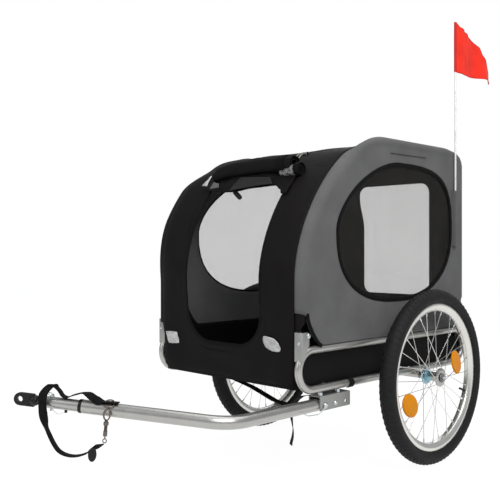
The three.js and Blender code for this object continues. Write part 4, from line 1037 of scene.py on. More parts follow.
def doorFlat(grow=0.0):
    low, high = runAtHeight(door["bottom"]) - grow, runAtHeight(door["top"]) + grow
    atLow = (door["halfLow"] + grow, door["lowRadius"] + grow)
    atHigh = (door["halfHigh"] + grow, door["topRadius"] + grow)
    return openingLine(low, high, atLow, atHigh, (10, 18, 6, 18))


# Places evenly along a sheet's edge, its corners included
def edgePlaces(corners, count):
    lengths = [math.dist(a, b) for a, b in zip(corners, corners[1:] + corners[:1])]
    total = sum(lengths)
    targets = []
    for (a, b), length in zip(zip(corners, corners[1:] + corners[:1]), lengths):
        share = max(1, round(count * length / total))
        targets += [betweenPlaces(a, b, k / share) for k in range(share)]
    return targets


def holedSheet(name, corners, opening, rings, material, bend):
    centre = [sum(p[i] for p in opening) / len(opening) for i in range(2)]
    targets = edgePlaces(corners, edgeCount)
    starts = []
    for target in targets:
        direction = Vector((target[0] - centre[0], target[1] - centre[1])).normalized()
        far = lastCrossing(opening, centre, direction)[2]
        starts.append((centre[0] + direction[0] * far, centre[1] + direction[1] * far))

    def place(i, ring):
        share = ring / (rings - 1)
        across = starts[i][0] + (targets[i][0] - starts[i][0]) * share
        run = starts[i][1] + (targets[i][1] - starts[i][1]) * share
        return bend(across, run, share), across, run

    return ringSheet(name, len(targets), rings, place, material)


def frontBend(across, run, share):
    drawn = smooth(-across, flatHalf - 70, flatHalf)  # the right lower corner is drawn in and rounded
    across += 9 * drawn * (1 - smooth(run, 88, 128))
    run += 20 * drawn * drawn * (1 - smooth(run, 0, 45))
    where = onSkin(run, across)
    fade = math.sin(math.pi * share)
    out = wrinkle((where[0] * 0.5, where[1], where[2]), 90, 3.4, 2) * fade
    out += wrinkle((where[0], where[1] * 0.4, where[2] * 1.6), 60, 1.6, 7) * fade
    x, z, nx, nz = onOutline(run)
    return (where[0] + nx * out, where[1], where[2] + nz * out)


def makeFront():
    corners = [(flatHalf, 0), (flatHalf, frontTop), (-flatHalf, frontTop), (-flatHalf, 0)]
    piece = holedSheet("blackFront", corners, doorFlat(), 12, blackCloth, frontBend)
    hangCloth(piece, cabin["cloth"], "front_panel")


# A band that follows the doorway's edge, given as (growth, height above the cloth) pairs
def doorBand(name, section, material, thickness):
    outlines = [doorFlat(grow) for grow, _ in section]
    count = len(outlines[0])

    def place(i, ring):
        across, run = outlines[ring][i]
        where = onSkin(run, across, -section[ring][1])
        return tuple(where), section[ring][0], 26 * i

    piece = ringSheet(name, count, len(section), place, material)
    hangCloth(piece, thickness)


def makeRoof():
    def place(u, w):
        run = frontTop + (roofEnd + 6 - frontTop) * u
        across = (2 * w - 1) * flatHalf
        where = onSkin(run, across)
        out = wrinkle(where, 110, 2.4, 3) * math.sin(math.pi * w) * math.sin(math.pi * u)
        return (where[0], where[1], where[2] + out), run, across

    piece = gridSheet("blackRoof", 60, 40, place, blackCloth)
    hangCloth(piece, cabin["cloth"], "roof_panel")


rearOpening = {"half": 150, "narrow": 130, "bottom": 455, "top": 845, "radius": 40}


# The rear opening's right side is drawn in below its top corner
def rearFlat(grow=0.0):
    low = outlineLength - (rearOpening["top"] - cabin["bottom"]) - grow
    high = outlineLength - (rearOpening["bottom"] - cabin["bottom"]) + grow
    corner = (rearOpening["half"] + grow, rearOpening["radius"] + grow)
    drawn = rearOpening["narrow"] / rearOpening["half"]
    points = []
    for across, run in openingLine(low, high, corner, corner, (8, 14, 8, 14)):
        height = cabin["bottom"] + outlineLength - run
        share = drawn + (1 - drawn) * smooth(height, 690, 800) if across < 0 else 1
        points.append((across * share, run))
    return points


def rearBend(across, run, share):
    where = onSkin(run, across)
    fade = math.sin(math.pi * share)
    x, z, nx, nz = onOutline(run)
    out = wrinkle(where, 80, 2.4, 4) * fade
    return (where[0] + nx * out, where[1], where[2] + nz * out)


def makeRear():
    top = roofEnd + 6
    corners = [(flatHalf, top), (flatHalf, outlineLength), (-flatHalf, outlineLength), (-flatHalf, top)]
    piece = holedSheet("blackRear", corners, rearFlat(), 10, blackCloth, rearBend)
    hangCloth(piece, cabin["cloth"], "rear_panel")
    net = rearFlat(5)
    middle = (0, sum(p[1] for p in net) / len(net))

    def place(i, ring):
        share = 1 - ring / 6
        across = middle[0] + (net[i][0] - middle[0]) * share
        run = middle[1] + (net[i][1] - middle[1]) * share
        return tuple(onSkin(run, across, 1.8)), across, run

    netPiece = ringSheet("rearNet", len(net), 7, place, rearMesh, flip=True, closeMiddle=True)
    hangCloth(netPiece, 0.5, "rear_mesh")
    outlines = [rearFlat(grow) for grow in (-7, -6, 0, 6, 7)]
    heights = [0.2, 1.6, 2.2, 1.8, 0.3]

    def tape(i, ring):
        across, run = outlines[ring][i]
        return tuple(onSkin(run, across, -heights[ring])), ring * 3, 22 * i

    tapePiece = ringSheet("rearTape", len(outlines[0]), 5, tape, bindingTape)
    hangCloth(tapePiece, 1.4)


# Black lining inside each side: it closes the gap over the rail and fills the cut corners
def makeLining(side, way):
    def place(u, w):
        x = -270 + (498 + 270) * u
        raised = smooth(x, 392, 470) + 1 - smooth(x, -245, -195)
        z = 300 + (390 + 84 * raised - 300) * w
        y = 250.5 - 13 * smooth(z, 326, 388) + wrinkle((x, 0, z), 60, 1.4, 21) * w
        return (x, way * y, z), x, z

    piece = gridSheet(f"sideLining_{side}", 64, 12, place, blackCloth, flip=way > 0)
    hangCloth(piece, 1.4)


for wallSide, wallWay in sides:
    makeLining(wallSide, wallWay)
    makeSideWall(wallSide, wallWay)
    makeWindowTape(wallSide, wallWay)
    makeWindowMesh(wallSide, wallWay)
makeFront()
doorBand("doorTape", [(-2, 0.2), (-1, 1.0), (4, 1.4), (9, 1.0), (10, 0.1)], bindingTape, 1.2)
doorBand("doorZip", [(21, 0.1), (21.6, 1.0), (23, 1.5), (24.4, 1.0), (25, 0.1)], bindingTape, 0.8)
makeRoof()
makeRear()
print("cabin cloth made")


# Rolled door: the screen, the clear film rolled beside it, and the flap that hangs below

roll = {
    "stations": [
        (-148, 572, 16, 16), (-126, 576, 20, 20), (-90, 579, 23, 22), (-40, 582, 24, 23), (20, 582, 24, 23),
        (90, 583, 26, 22.5), (156, 583, 27, 22),
    ],
    "endRings": [
        (0.97, 2.5), (0.84, 3), (0.78, -8), (0.68, -8), (0.64, 1), (0.5, 1), (0.45, -12), (0.0, -12),
    ],
    "band": [(112, 583, 26, 24.5), (138, 583, 26.5, 24.8)],
    "film": [(120, 566, 14, 13.5), (150, 568, 17, 14.5), (176, 569, 18, 15)],
    "filmEnd": [(169, 569, 18, 15.6), (171, 569, 18, 17.2), (183, 569, 18, 17.6), (185.5, 569, 18, 16.6)],
}


# The middle of a roll and its radius at a share of its length
def rollStation(stations, share):
    position = share * (len(stations) - 1)
    k = min(int(position), len(stations) - 2)
    t = smooth(position, k, k + 1)
    across, run, out, radius = [a + (b - a) * t for a, b in zip(stations[k], stations[k + 1])]
    return onSkin(run, across, -out), radius, run


def rollPlace(stations, bodyRings, startRings, endRings, crease):
    def place(i, ring):
        angle = math.tau * i / 44
        lead = len(startRings)
        if ring < lead:
            share, (scale, push) = 0, startRings[ring]
        elif ring < lead + bodyRings:
            share, scale, push = (ring - lead) / (bodyRings - 1), 1, 0
        else:
            share, (scale, push) = 1, endRings[ring - lead - bodyRings]
        middle, radius, run = rollStation(stations, share)
        x, z, nx, nz = onOutline(run)
        lip = 1.8 * (i / 44) if scale > 0.9 else 0
        c, d = math.cos(angle), math.sin(angle)
        dent = wrinkle((middle.x + 30 * c, middle.y * 0.5, middle.z + 30 * d), 26, crease)
        reach = (radius + lip + dent * (scale > 0.6)) * scale
        where = (middle.x + reach * (c * nx - d * nz), middle.y + push, middle.z + reach * (c * nz + d * nx))
        return where, middle.y + push, reach * angle
    return place


def rollPiece(name, stations, bodyRings, startRings, endRings, crease, material, *nodes, closed=True):
    place = rollPlace(stations, bodyRings, startRings, endRings, crease)
    rings = bodyRings + len(startRings) + len(endRings)
    piece = ringSheet(name, 44, rings, place, material, closeMiddle=closed, closeStart=closed)
    mountCloth(piece, *nodes)


def makeRoll():
    left = [(0.0, 9), (0.4, 8), (0.5, 0), (0.85, -1)]
    rollPiece("rolledScreen", roll["stations"], 40, left, roll["endRings"], 2.6, blackCloth, "door_roll")
    first, last = [(0.9, 0), (0.98, 0)], [(0.98, 0), (0.9, 0)]
    rollPiece("rollBand", roll["band"], 6, first, last, 1.2, bindingTape, closed=False)
    rollPiece("rolledFilm", roll["film"], 24, [(0.0, 0)], [(0.0, 0)], 2.2, clearFilm)
    ends = [(0.99, 1), (0.9, 1.6), (0.84, -3), (0.4, -3), (0.34, 0.5), (0.2, 0.5), (0.16, -4), (0.0, -4)]
    rollPiece("rolledFilmTape", roll["filmEnd"], 8, [(0.0, 0)], ends, 0.8, bindingTape)


# The lower edge of the hanging flap, as (across, height)
flapEdge = [
    (-168, 792), (-150, 786), (-120, 781), (-78, 777), (-30, 776), (42, 783), (118, 786),
    (140, 775), (152, 762),
]


def flapBottom(across):
    for a, b in zip(flapEdge, flapEdge[1:]):
        if across <= b[0]:
            t = smooth(across, a[0], b[0])
            return a[1] + (b[1] - a[1]) * t
    return flapEdge[-1][1]


def makeFlap():
    def place(u, w):
        across = -166 + 336 * u
        low, high = runOnSkin(flapBottom(across), across, 9), 580
        run = high + (low - high) * w
        belly = 7 * math.sin(math.pi * w) * math.sin(math.pi * u)
        middle = smooth(across, -90, -60) * (1 - smooth(across, 96, 118))
        fold = 3.5 * math.exp(-((w - 0.45) / 0.12) ** 2) * middle
        ripple = wrinkle((across, run * 1.5, 0), 34, 4.0, 31) * (1 - smooth(w, 0.7, 1))
        return tuple(onSkin(run, across, -(7 + belly + fold + ripple + 2.2 * w))), across, run

    piece = gridSheet("doorFlap", 84, 22, place, blackCloth)
    hangCloth(piece, 1.8, offset=0)

    # A piped seam along the flap's fold
    places = []
    for k in range(45):
        u = 0.26 + 0.56 * k / 44
        places.append(at(*place(u, 0.45)[0]) + Vector((0.0012, 0, 0.0006)))
    mountCloth(tubeMesh("flapPiping", places, 1.6, bindingTape, sides=3))


# A small patch lying on the skin, given by its corners as (across, height), with its height above
# it and how far its corners are rounded
def skinPatch(name, corners, out, material, thickness=1.2, bow=0.0, creases=1.0, rounding=0.0):
    def place(u, w):
        a, b = 2 * u - 1, 2 * w - 1
        u = 0.5 + 0.5 * a * math.sqrt(1 - rounding * b * b / 2)
        w = 0.5 + 0.5 * b * math.sqrt(1 - rounding * a * a / 2)
        top = [a + (b - a) * u for a, b in zip(corners[0], corners[1])]
        low = [a + (b - a) * u for a, b in zip(corners[3], corners[2])]
        across, height = [a + (b - a) * w for a, b in zip(top, low)]
        lift = out + bow * math.sin(math.pi * u) + wrinkle((across, height, 0), 12, creases, 41)
        run = runOnSkin(height, across, lift)
        return tuple(onSkin(run, across, -lift)), across, height

    piece = gridSheet(name, 14, 12, place, material)
    hangCloth(piece, thickness, offset=0)


nearTab = [(144, 397), (203, 390), (218, 354), (156, 362)]
farTab = [(-237, 378), (-192, 378), (-183, 345), (-225, 343)]
patches = {
    "frontTab_left": (nearTab, 3.0, reflectiveTab, 1.2, 3.0, 3.0, 0.75),
    "frontTab_right": (farTab, 2.6, reflectiveTab, 1.2, 2.0, 1.5, 0.2),
    "flapTab": ([(-148, 830), (-144, 830), (-136, 798), (-160, 801)], 33, reflectiveTab, 1.2, 1.0),
    "flapTabInner": ([(-112, 808), (-84, 802), (-74, 790), (-112, 788)], 33, greyCloth, 1.2, 1.0),
    "flapPanel": ([(-24, 818), (94, 810), (117, 791), (-40, 779)], 20, flapCloth, 1.0, 4.0, 2.0),
}


def makeTabs():
    for name, patch in patches.items():
        skinPatch(name, *patch)


def makePullTab():
    shape = bmesh.new()
    bmesh.ops.create_circle(shape, cap_ends=True, radius=1, segments=28)
    for vert in shape.verts:
        along = 9 if vert.co.y > 0.01 else (-9 if vert.co.y < -0.01 else 0)
        vert.co = Vector((vert.co.x * 7, vert.co.y * 7 + along, 0)) / 1000
    face = shape.faces[:][0]
    made = bmesh.ops.extrude_face_region(shape, geom=[face])["geom"]
    raised = [v for v in made if isinstance(v, bmesh.types.BMVert)]
    bmesh.ops.translate(shape, vec=(0, 0, 0.002), verts=raised)
    bmesh.ops.recalc_face_normals(shape, faces=shape.faces)
    bevelAll(shape, 0.6, 2, [e for e in shape.edges if e.calc_face_angle(0) > 1])
    shape.transform(Matrix.Rotation(math.radians(42), 4, "Z"))
    shape.transform(Matrix.Rotation(math.pi / 2, 4, "X"))
    shape.transform(Matrix.Rotation(math.radians(128), 4, "Z"))
    shape.transform(Matrix.Translation(at(436, -24, 768)))
    mountCloth(finishMesh("flapPull", shape, blackPlastic))


# Two elastic loops with toggles, which tie the rolled door to the roof
def makeTies():
    for number, across in enumerate((98, 111)):
        places = []
        for k in range(15):
            t = k / 14
            run = 644 + 42 * t
            places.append(at(*onSkin(run, across + 2 * math.sin(5 * t), -(3.0 + 8 * math.sin(math.pi * t)))))
        mountCloth(tubeMesh(f"doorTie_{number}", places, 1.5, elasticCord, sides=3))
        profile = [(0, -5), (2.6, -5), (3.4, -3.8), (3.6, 0), (3.4, 3.8), (2.6, 5), (0, 5)]
        shape = spinProfile(profile, 20, matrix=aim((0.7, 0.1, 0.6), at(*onSkin(688, across, -5))))
        mountCloth(finishMesh(f"tieToggle_{number}", shape, blackPlastic))


# The seam between the front and the roof, seen at both sides of the rolled door
def makeSeams():
    for name, first, last in (("left", 176, 251), ("right", -251, -160)):
        places = []
        for k in range(31):
            places.append(at(*onSkin(602 + 3 * math.sin(k / 5), first + (last - first) * k / 30, -0.4)))
        mountCloth(tubeMesh(f"frontSeam_{name}", places, 1.5, bindingTape, sides=3))
    places = [at(127 - 181 * k / 40, 277.2 + 0.5 * math.sin(k), 886.1 + 1.6 * k / 40) for k in range(41)]
    mountCloth(tubeMesh("sideSeam", places, 0.9, seamThread, sides=2))
    for name, x, z in (("front", 127, 886.1), ("rear", -54.6, 887.7)):
        tack = roundBlock(at(x - 2.2, 275, z - 4.5), at(x + 2.2, 278.4, z + 4.5), 0.001)
        mountCloth(finishMesh(f"sideTack_{name}", tack, bindingTape))


makeSeams()
makeRoll()
makeFlap()
makeTabs()
makePullTab()
makeTies()
print("rolled door made")


# Hoops

hoops = {
    "radius": 7,
    "foot": (487, 247.4, 389),
    "bar": (195.0, 891.5, 45),
    "rear": [
        ((-258, 265.7, 389), 0),
        ((-258, 265.7, 413), 0),
        ((-272, 261.2, 826), 50),
        ((-226.2, 261.2, 910.5), 45),
    ],
}


# One half of a hoop, and the same half mirrored
def hoopPiece(name, half, body):
    corners = half + [((x, -y, z), r) for (x, y, z), r in reversed(half)]
    mount(tubeMesh(name, [at(*p) for p in bentLine(corners)], hoops["radius"], silverTube), body, body)


def makeHoops():
    half = hoops["foot"][1]
    front = [(hoops["foot"], 0)]
    for k in range(25):
        t = 0.78 * k / 24
        x, z = bezier(t)
        a, b = bezier(max(t - 0.01, 0)), bezier(t + 0.01)
        length = math.dist(a, b)
        nx, nz = (b[1] - a[1]) / length, -(b[0] - a[0]) / length
        inward = 10.1 + 8 * smooth(t, 0.45, 0.75)
        front.append(((x - nx * inward, half, z - nz * inward), 0))
    barX, barZ, bend = hoops["bar"]
    front.append(((barX, half, barZ), bend))
    hoopPiece("frontHoopTube", front, "front_hoop")
    hoopPiece("rearHoopTube", hoops["rear"], "rear_hoop")


makeHoops()


# Floor tub and board

tub = {
    "half": 254.4,
    "low": 269.6,
    "rear": -283.2,
    "front": 505.2,
    "levels": [
        (346, -2.5), (352, -1.2), (352, 0), (344, 0), (320, 0), (296, 0.5), (275.6, 1.5), (264.6, -1),
        (269.6, -9),
    ],
}


def makeTub(sizes):
    half, low, x0, x1 = sizes["half"], sizes["low"], sizes["rear"], sizes["front"]

    def place(i, ring):
        z, grow = sizes["levels"][ring]
        a = (i + 0.5) / 160 * 4
        edge, t = int(a), a - int(a)
        cornersX = [x1 + grow, x0 - grow, x0 - grow, x1 + grow]
        cornersY = [half + grow, half + grow, -half - grow, -half - grow]
        x = cornersX[edge] + (cornersX[(edge + 1) % 4] - cornersX[edge]) * t
        y = cornersY[edge] + (cornersY[(edge + 1) % 4] - cornersY[edge]) * t
        out = wrinkle((x, y, z * 2), 70, 2.0, 11) if 2 < ring < 7 else 0
        if ring == 7:
            z += 5.5 * max(math.exp(-((x - tube) / 30) ** 2) for tube in (400, 0, -222))
        if edge in (0, 2):
            y += math.copysign(abs(out), -y)
        else:
            x += math.copysign(abs(out), -x)
        return (x, y, z), i * 16, z

    piece = ringSheet("tubWall", 160, 9, place, blackCloth, flip=True)
    thicken(piece, 2)
    mount(piece, "trailer", "floor_tub")

    def underside(u, w):
        x, y = x0 + 9 + (x1 - x0 - 18) * u, (2 * w - 1) * (half - 9)
        sag = wrinkle((x, y, 0), 120, 1.2, 13)
        return (x, y, low + 0.6 + abs(sag) * 0.4), x, y

    bottom = gridSheet("tubBottom", 50, 34, underside, blackCloth, flip=True)
    thicken(bottom, 1.6)
    mount(bottom, "trailer")


def makeBoard():
    shape = roundBlock((-274.7, -245.9, 276.1), (496.7, 245.9, 282.1), 1.5)
    shape.transform(Matrix.Translation((axleX, 0, 0)))
    mount(finishMesh("floorBoardPadded", shape, floorBoardPaint), "trailer", "floor_board")


makeTub(tub)
makeBoard()
print("floor made")


# Wheels, made about their own centre: y points out of the trailer

wheel = {
    "valve": math.radians(199.8),
    "track": 335,
    "radius": 250,
    "tyre": 23,
    "blocks": 84,
    "rimOuter": 210.5,
    "rimInner": 188,
    "rimHalf": 14,
    "spokes": 14,
    "seat": 21,
    "flangeOut": 22.8,
    "flangeIn": -22.5,
    "start": 15,
    "stagger": 1.3,
}


def wheelMatrix(way):
    turn = Matrix.Rotation(0 if way > 0 else math.pi, 4, "Z")
    return Matrix.Translation(at(0, way * wheel["track"], 250)) @ turn


# Spun shapes turn round Z, and wheels turn round Y
spinToWheel = Matrix.Rotation(-math.pi / 2, 4, "X")


def wheelPiece(name, shape, material, way, body, *nodes):
    shape.transform(wheelMatrix(way))
    mount(finishMesh(name, shape, material, sharpAngle=35), body, *nodes)


def tyreShape():
    centre, section = wheel["radius"] - wheel["tyre"], wheel["tyre"]
    profile = []
    for k in range(29):
        a = 2.72 * (1 - k / 14)
        r = section - (0.9 if abs(a) < 1.15 else 0)
        ridge = 0.35 if abs(a) > 1.3 and k % 2 else 0
        far = centre + (r + ridge) * math.cos(a)
        profile.append((max(far, wheel["rimOuter"] + 0.4), (r + ridge) * math.sin(a)))
    shape = spinProfile(profile, 120, closedRing=True)
    blocks = bmesh.new()
    rows = [(0.13, 5.0, 8.5, 0.0), (-0.13, 5.0, 8.5, 0.5), (0.62, 7.5, 7.0, 0.25), (-0.62, 7.5, 7.0, 0.75)]
    rows += [(1.06, 7.0, 5.0, 0.5), (-1.06, 7.0, 5.0, 0.0)]
    count = wheel["blocks"]
    for angle, wide, long, phase in rows:
        for k in range(count):
            block = bmesh.new()
            bmesh.ops.create_cube(block, size=1)
            bmesh.ops.scale(block, vec=(0.0022, wide / 1000, long / 1000), verts=block.verts)
            top = [v for v in block.verts if v.co.x > 0]
            bmesh.ops.scale(block, vec=(1, 0.8, 0.84), verts=top)
            tilt = Matrix.Rotation(angle, 4, "Z")
            lift = Matrix.Translation(((section - 1.1) / 1000, 0, 0))
            out = Matrix.Translation((centre / 1000, 0, 0))
            round_ = Matrix.Rotation(math.tau * (k + phase) / count, 4, "Y")
            addShape(blocks, block, round_ @ out @ tilt @ lift)
    shape.transform(spinToWheel)
    addShape(shape, blocks)
    return shape


def rimShape():
    outer, inner, half = wheel["rimOuter"], wheel["rimInner"], wheel["rimHalf"]
    near = [
        (outer - 8.5, half), (outer - 10.5, half - 0.6), (inner + 2.2, half - 5.5), (inner + 0.4, half - 8.5),
        (inner, 3),
    ]
    lip = [(outer - 7, half - 6), (outer - 5, half - 2.6), (outer - 1.4, half - 2.2), (outer, half - 0.7)]
    profile = lip + [(outer - 1.2, half)] + near
    profile = [(r, -y) for r, y in reversed(lip + [(outer - 1.2, half)])] + profile
    profile += [(r, -y) for r, y in reversed(near)]
    return spinProfile(profile, 144, closedRing=True, matrix=spinToWheel)


def spokeEnds():
    pitch = math.tau / wheel["spokes"]
    turn = math.radians(wheel["start"])
    for y, phase, rimY in ((wheel["flangeOut"], 0, 2), (wheel["flangeIn"], 0.5, -2)):
        for k in range(wheel["spokes"]):
            rimAngle = turn + (k + phase) * pitch
            lead = 1 if k % 2 == 0 else -1
            hubAngle = rimAngle + lead * 2 * pitch
            shift = lead * wheel["stagger"]
            seat, rim = wheel["seat"], wheel["rimInner"]
            start = Vector((seat * math.cos(hubAngle), y + shift, seat * math.sin(hubAngle)))
            end = Vector((rim * math.cos(rimAngle), rimY + shift, rim * math.sin(rimAngle)))
            yield start, end, y, lead


def rodShape(start, end, radius, sides=8, endRadius=None):
    rod = bmesh.new()
    line = end - start
    ends = {"radius1": radius / 1000, "radius2": (endRadius or radius) / 1000, "depth": line.length / 1000}
    bmesh.ops.create_cone(rod, cap_ends=True, segments=sides, **ends)
    rod.transform(aim(line, (start + end) / 2000))
    return rod


def spokesShape():
    shape = bmesh.new()
    for start, end, flange, lead in spokeEnds():
        addShape(shape, rodShape(start, end, 1.0))
        direction = (end - start).normalized()
        addShape(shape, rodShape(end - direction * 11, end + direction * 0.5, 1.9, 8, 2.3))
        head = bmesh.new()
        bmesh.ops.create_uvsphere(head, u_segments=10, v_segments=6, radius=0.0019)
        head.transform(Matrix.Translation((start + Vector((0, lead * 0.8, 0))) / 1000))
        addShape(shape, head)
    return shape


def hubShape():
    profile = [
        (6.4, -33), (12, -33), (12.6, -32.4), (12.6, -26.5), (13.5, -25.5), (23, -25.2), (24, -24.4),
        (24, -20.9), (23, -20.1), (16, -19), (13.8, -15), (13, 0), (13.8, 14), (16, 18), (25, 20),
        (26, 20.8), (26, 24.6), (25, 25.3), (21, 26.4), (13.2, 27), (12.4, 26.6), (12, 24.4), (6.4, 24.2),
    ]
    return spinProfile(profile, 56, closedRing=True, matrix=spinToWheel)


def axleShape():
    profile = [
        (0, -120.8), (4.6, -120.8), (6, -119), (6, -44.8), (9.4, -44.8), (10, -44.2), (10, -34), (9.4, -33.4),
        (6, -33.4), (6, 27.4), (11, 27.4), (12, 28.2), (12, 29.4), (11.2, 30.3), (7.2, 30.3), (6.6, 29.5),
        (4.35, 29.3), (4.35, 11), (0, 11),
    ]
    return spinProfile(profile, 48, matrix=spinToWheel)


def buttonShape():
    profile = [(0, 11.4), (3.95, 11.4), (3.95, 34.0), (3.5, 34.9), (2.6, 35.2), (0, 35.3)]
    return spinProfile(profile, 36, matrix=spinToWheel)


def reflectorShape(radius, angle, backing):
    length, width, lean = 38, 28, math.radians(17)
    run = wheel["rimInner"] - wheel["seat"]
    slope = math.atan((wheel["flangeOut"] - 2) / run)
    spokeY = wheel["flangeOut"] - (radius - wheel["seat"]) * math.tan(slope)
    lift = (1 + wheel["stagger"] - 0.3) / math.cos(slope)
    shape = bmesh.new()
    bmesh.ops.create_circle(shape, cap_ends=True, radius=1, segments=56)
    grow = 0 if backing else -1.6
    bmesh.ops.scale(shape, vec=((width + grow) / 1000, (length + grow) / 1000, 1), verts=shape.verts)
    steps = [(1.0, 1.0), (3.8, 1.0), (4.6, 0.975), (5.0, 0.92)]
    if backing:
        steps = [(0, 1.0), (2.4, 1.0), (3.0, 0.97)]
    bmesh.ops.translate(shape, vec=(0, 0, steps[0][0] / 1000), verts=shape.verts)
    face = shape.faces[:][0]
    height, scale = steps[0]
    for nextHeight, nextScale in steps[1:]:
        made = bmesh.ops.extrude_face_region(shape, geom=[face])["geom"]
        face = next(f for f in made if isinstance(f, bmesh.types.BMFace))
        bmesh.ops.translate(shape, vec=(0, 0, (nextHeight - height) / 1000), verts=face.verts)
        ratio = nextScale / scale
        bmesh.ops.scale(shape, vec=(ratio, ratio, 1), verts=face.verts)
        height, scale = nextHeight, nextScale
    bmesh.ops.recalc_face_normals(shape, faces=shape.faces)
    shape.transform(Matrix.Rotation(lean, 4, "Z"))
    shape.transform(spinToWheel)
    shape.transform(Matrix.Rotation(-slope, 4, "Z"))
    shape.transform(Matrix.Translation((radius / 1000, (spokeY + lift) / 1000, 0)))
    shape.transform(Matrix.Rotation(-math.radians(angle), 4, "Y"))
    return shape


# The tyre valve: a threaded stem with a cap, standing inward from the rim
def valveShape():
    profile = [(0, 158), (2.6, 158), (3.4, 158.8), (3.4, 170), (2.7, 170.4)]
    profile += [(2.7, 178), (3.8, 178.4), (4.6, 181), (4.6, 190), (0, 190)]
    shape = spinProfile(profile, 20)
    shape.transform(Matrix.Rotation(math.pi / 2, 4, "Y"))
    shape.transform(Matrix.Rotation(-wheel["valve"], 4, "Y"))
    return shape


def makeWheels():
    for side, way in sides:
        spin = f"wheel_{side}"
        rows = [
            ("treadedTyre", tyreShape(), blackRubber, spin, f"tyre_{side}"),
            ("alloyRim", rimShape(), rimAlloy, spin, f"rim_{side}"),
            ("hubShell", hubShape(), hubZinc, spin, f"spoked_hub_{side}"),
            ("spokes", spokesShape(), spokeSteel, spin),
            ("tyreValve", valveShape(), blackPlastic, spin),
            ("quickAxle", axleShape(), axleSteel, f"axle_{side}", f"axle_{side}"),
            ("axleButton", buttonShape(), zincPlate, f"release_{side}", f"release_button_{side}"),
        ]
        for place, radius, angle in (("front", 149, -25), ("rear", 104, 162)):
            lens = reflectorShape(radius, angle, False)
            rows.append((f"{place}Lens", lens, orangeLens, spin, f"{place}_reflector_{side}"))
            rows.append((f"{place}LensBack", reflectorShape(radius, angle, True), orangeLens, spin))
        for name, shape, material, body, *nodes in rows:
            wheelPiece(f"{name}_{side}", shape, material, way, body, *nodes)


makeWheels()
print("wheels made")


# Drawbar, hitch and strap hardware. The second leg has its own axes: along, to its left, and up.

legTurn, legRise = math.radians(-52.6), math.radians(5.2)
legLevel = math.cos(legRise)
legForward = Vector((math.cos(legTurn) * legLevel, math.sin(legTurn) * legLevel, math.sin(legRise)))
legSide = Vector((-math.sin(legTurn), math.cos(legTurn), 0))
legUp = legForward.cross(legSide)
drawbarY = 258
bendPoint = Vector((732, drawbarY, 220))


def onLeg(along, side=0, up=0):
    return bendPoint + legForward * along + legSide * side + legUp * up


def legPlace(along, side=0, up=0):
    return at(*onLeg(along, side, up))


def onLegAxes(vector):
    return legForward * vector[0] + legSide * vector[1] + legUp * vector[2]


legAxes = Matrix((
    (legForward.x, legSide.x, legUp.x, 0),
    (legForward.y, legSide.y, legUp.y, 0),
    (legForward.z, legSide.z, legUp.z, 0),
    (0, 0, 0, 1),
))
legMatrix = Matrix.Translation(at(*bendPoint)) @ legAxes
spinToLeg = Matrix.Rotation(math.pi / 2, 4, "Y")


def makeDrawbar():
    corners = [((365, drawbarY, 220), 0), (tuple(bendPoint), 105), (tuple(onLeg(346.8)), 0)]
    places = [at(*p) for p in bentLine(corners, 3)]
    mount(tubeMesh("drawbarTube", places, 16, silverTube, sides=10), "trailer", "drawbar_tube")


def makeHitchTube():
    profile = [(0, 324), (13.4, 324), (13.4, 347.4), (15, 347.6), (15.4, 348.4), (15.4, 354.6), (15, 355.4)]
    profile += [(13.6, 355.8), (13.6, 446), (12.9, 446.8), (6.5, 447.2), (4.6, 448.4)]
    ball, centre = 9, 465
    first = math.asin(4.6 / ball)
    for k in range(17):
        a = math.pi - first - (math.pi - first) * k / 16
        profile.append((max(ball * math.sin(a), 0), centre + ball * math.cos(a)))
    shape = spinProfile(profile, 48, matrix=spinToLeg)
    shape.transform(legMatrix)
    mount(finishMesh("hitchEndSleeve", shape, silverTube), "hitch_end", "hitch_end_tube")
    profile = [(14.2, 346.9), (15.7, 347.2), (16.2, 348.4), (16.2, 353.4), (15.7, 355), (14.2, 355.3)]
    shape = spinProfile(profile, 48, closedRing=True, matrix=spinToLeg)
    shape.transform(legMatrix)
    mount(finishMesh("hitchSleeveRing", shape, blackPlastic), "hitch_end")
    wire = [legPlace(420, 0, -15), legPlace(414, 2, -20), legPlace(405, 3, -24.5), legPlace(396, 2, -23),
            legPlace(389, 0, -17), legPlace(387, 0, -13)]
    mount(tubeMesh("pinWire", wire, 0.6, spokeSteel, sides=2), "hitch_end")
    profile = [(0, -3.4), (2.6, -3.4), (3.4, -2.4), (3.4, 2.4), (2.6, 3.4), (0, 3.4)]
    shape = spinProfile(profile, 20, matrix=aim(onLegAxes((0, 0, 1)), legPlace(387, 0, -16.4)))
    mount(finishMesh("pinWireCap", shape, blackPlastic), "hitch_end")


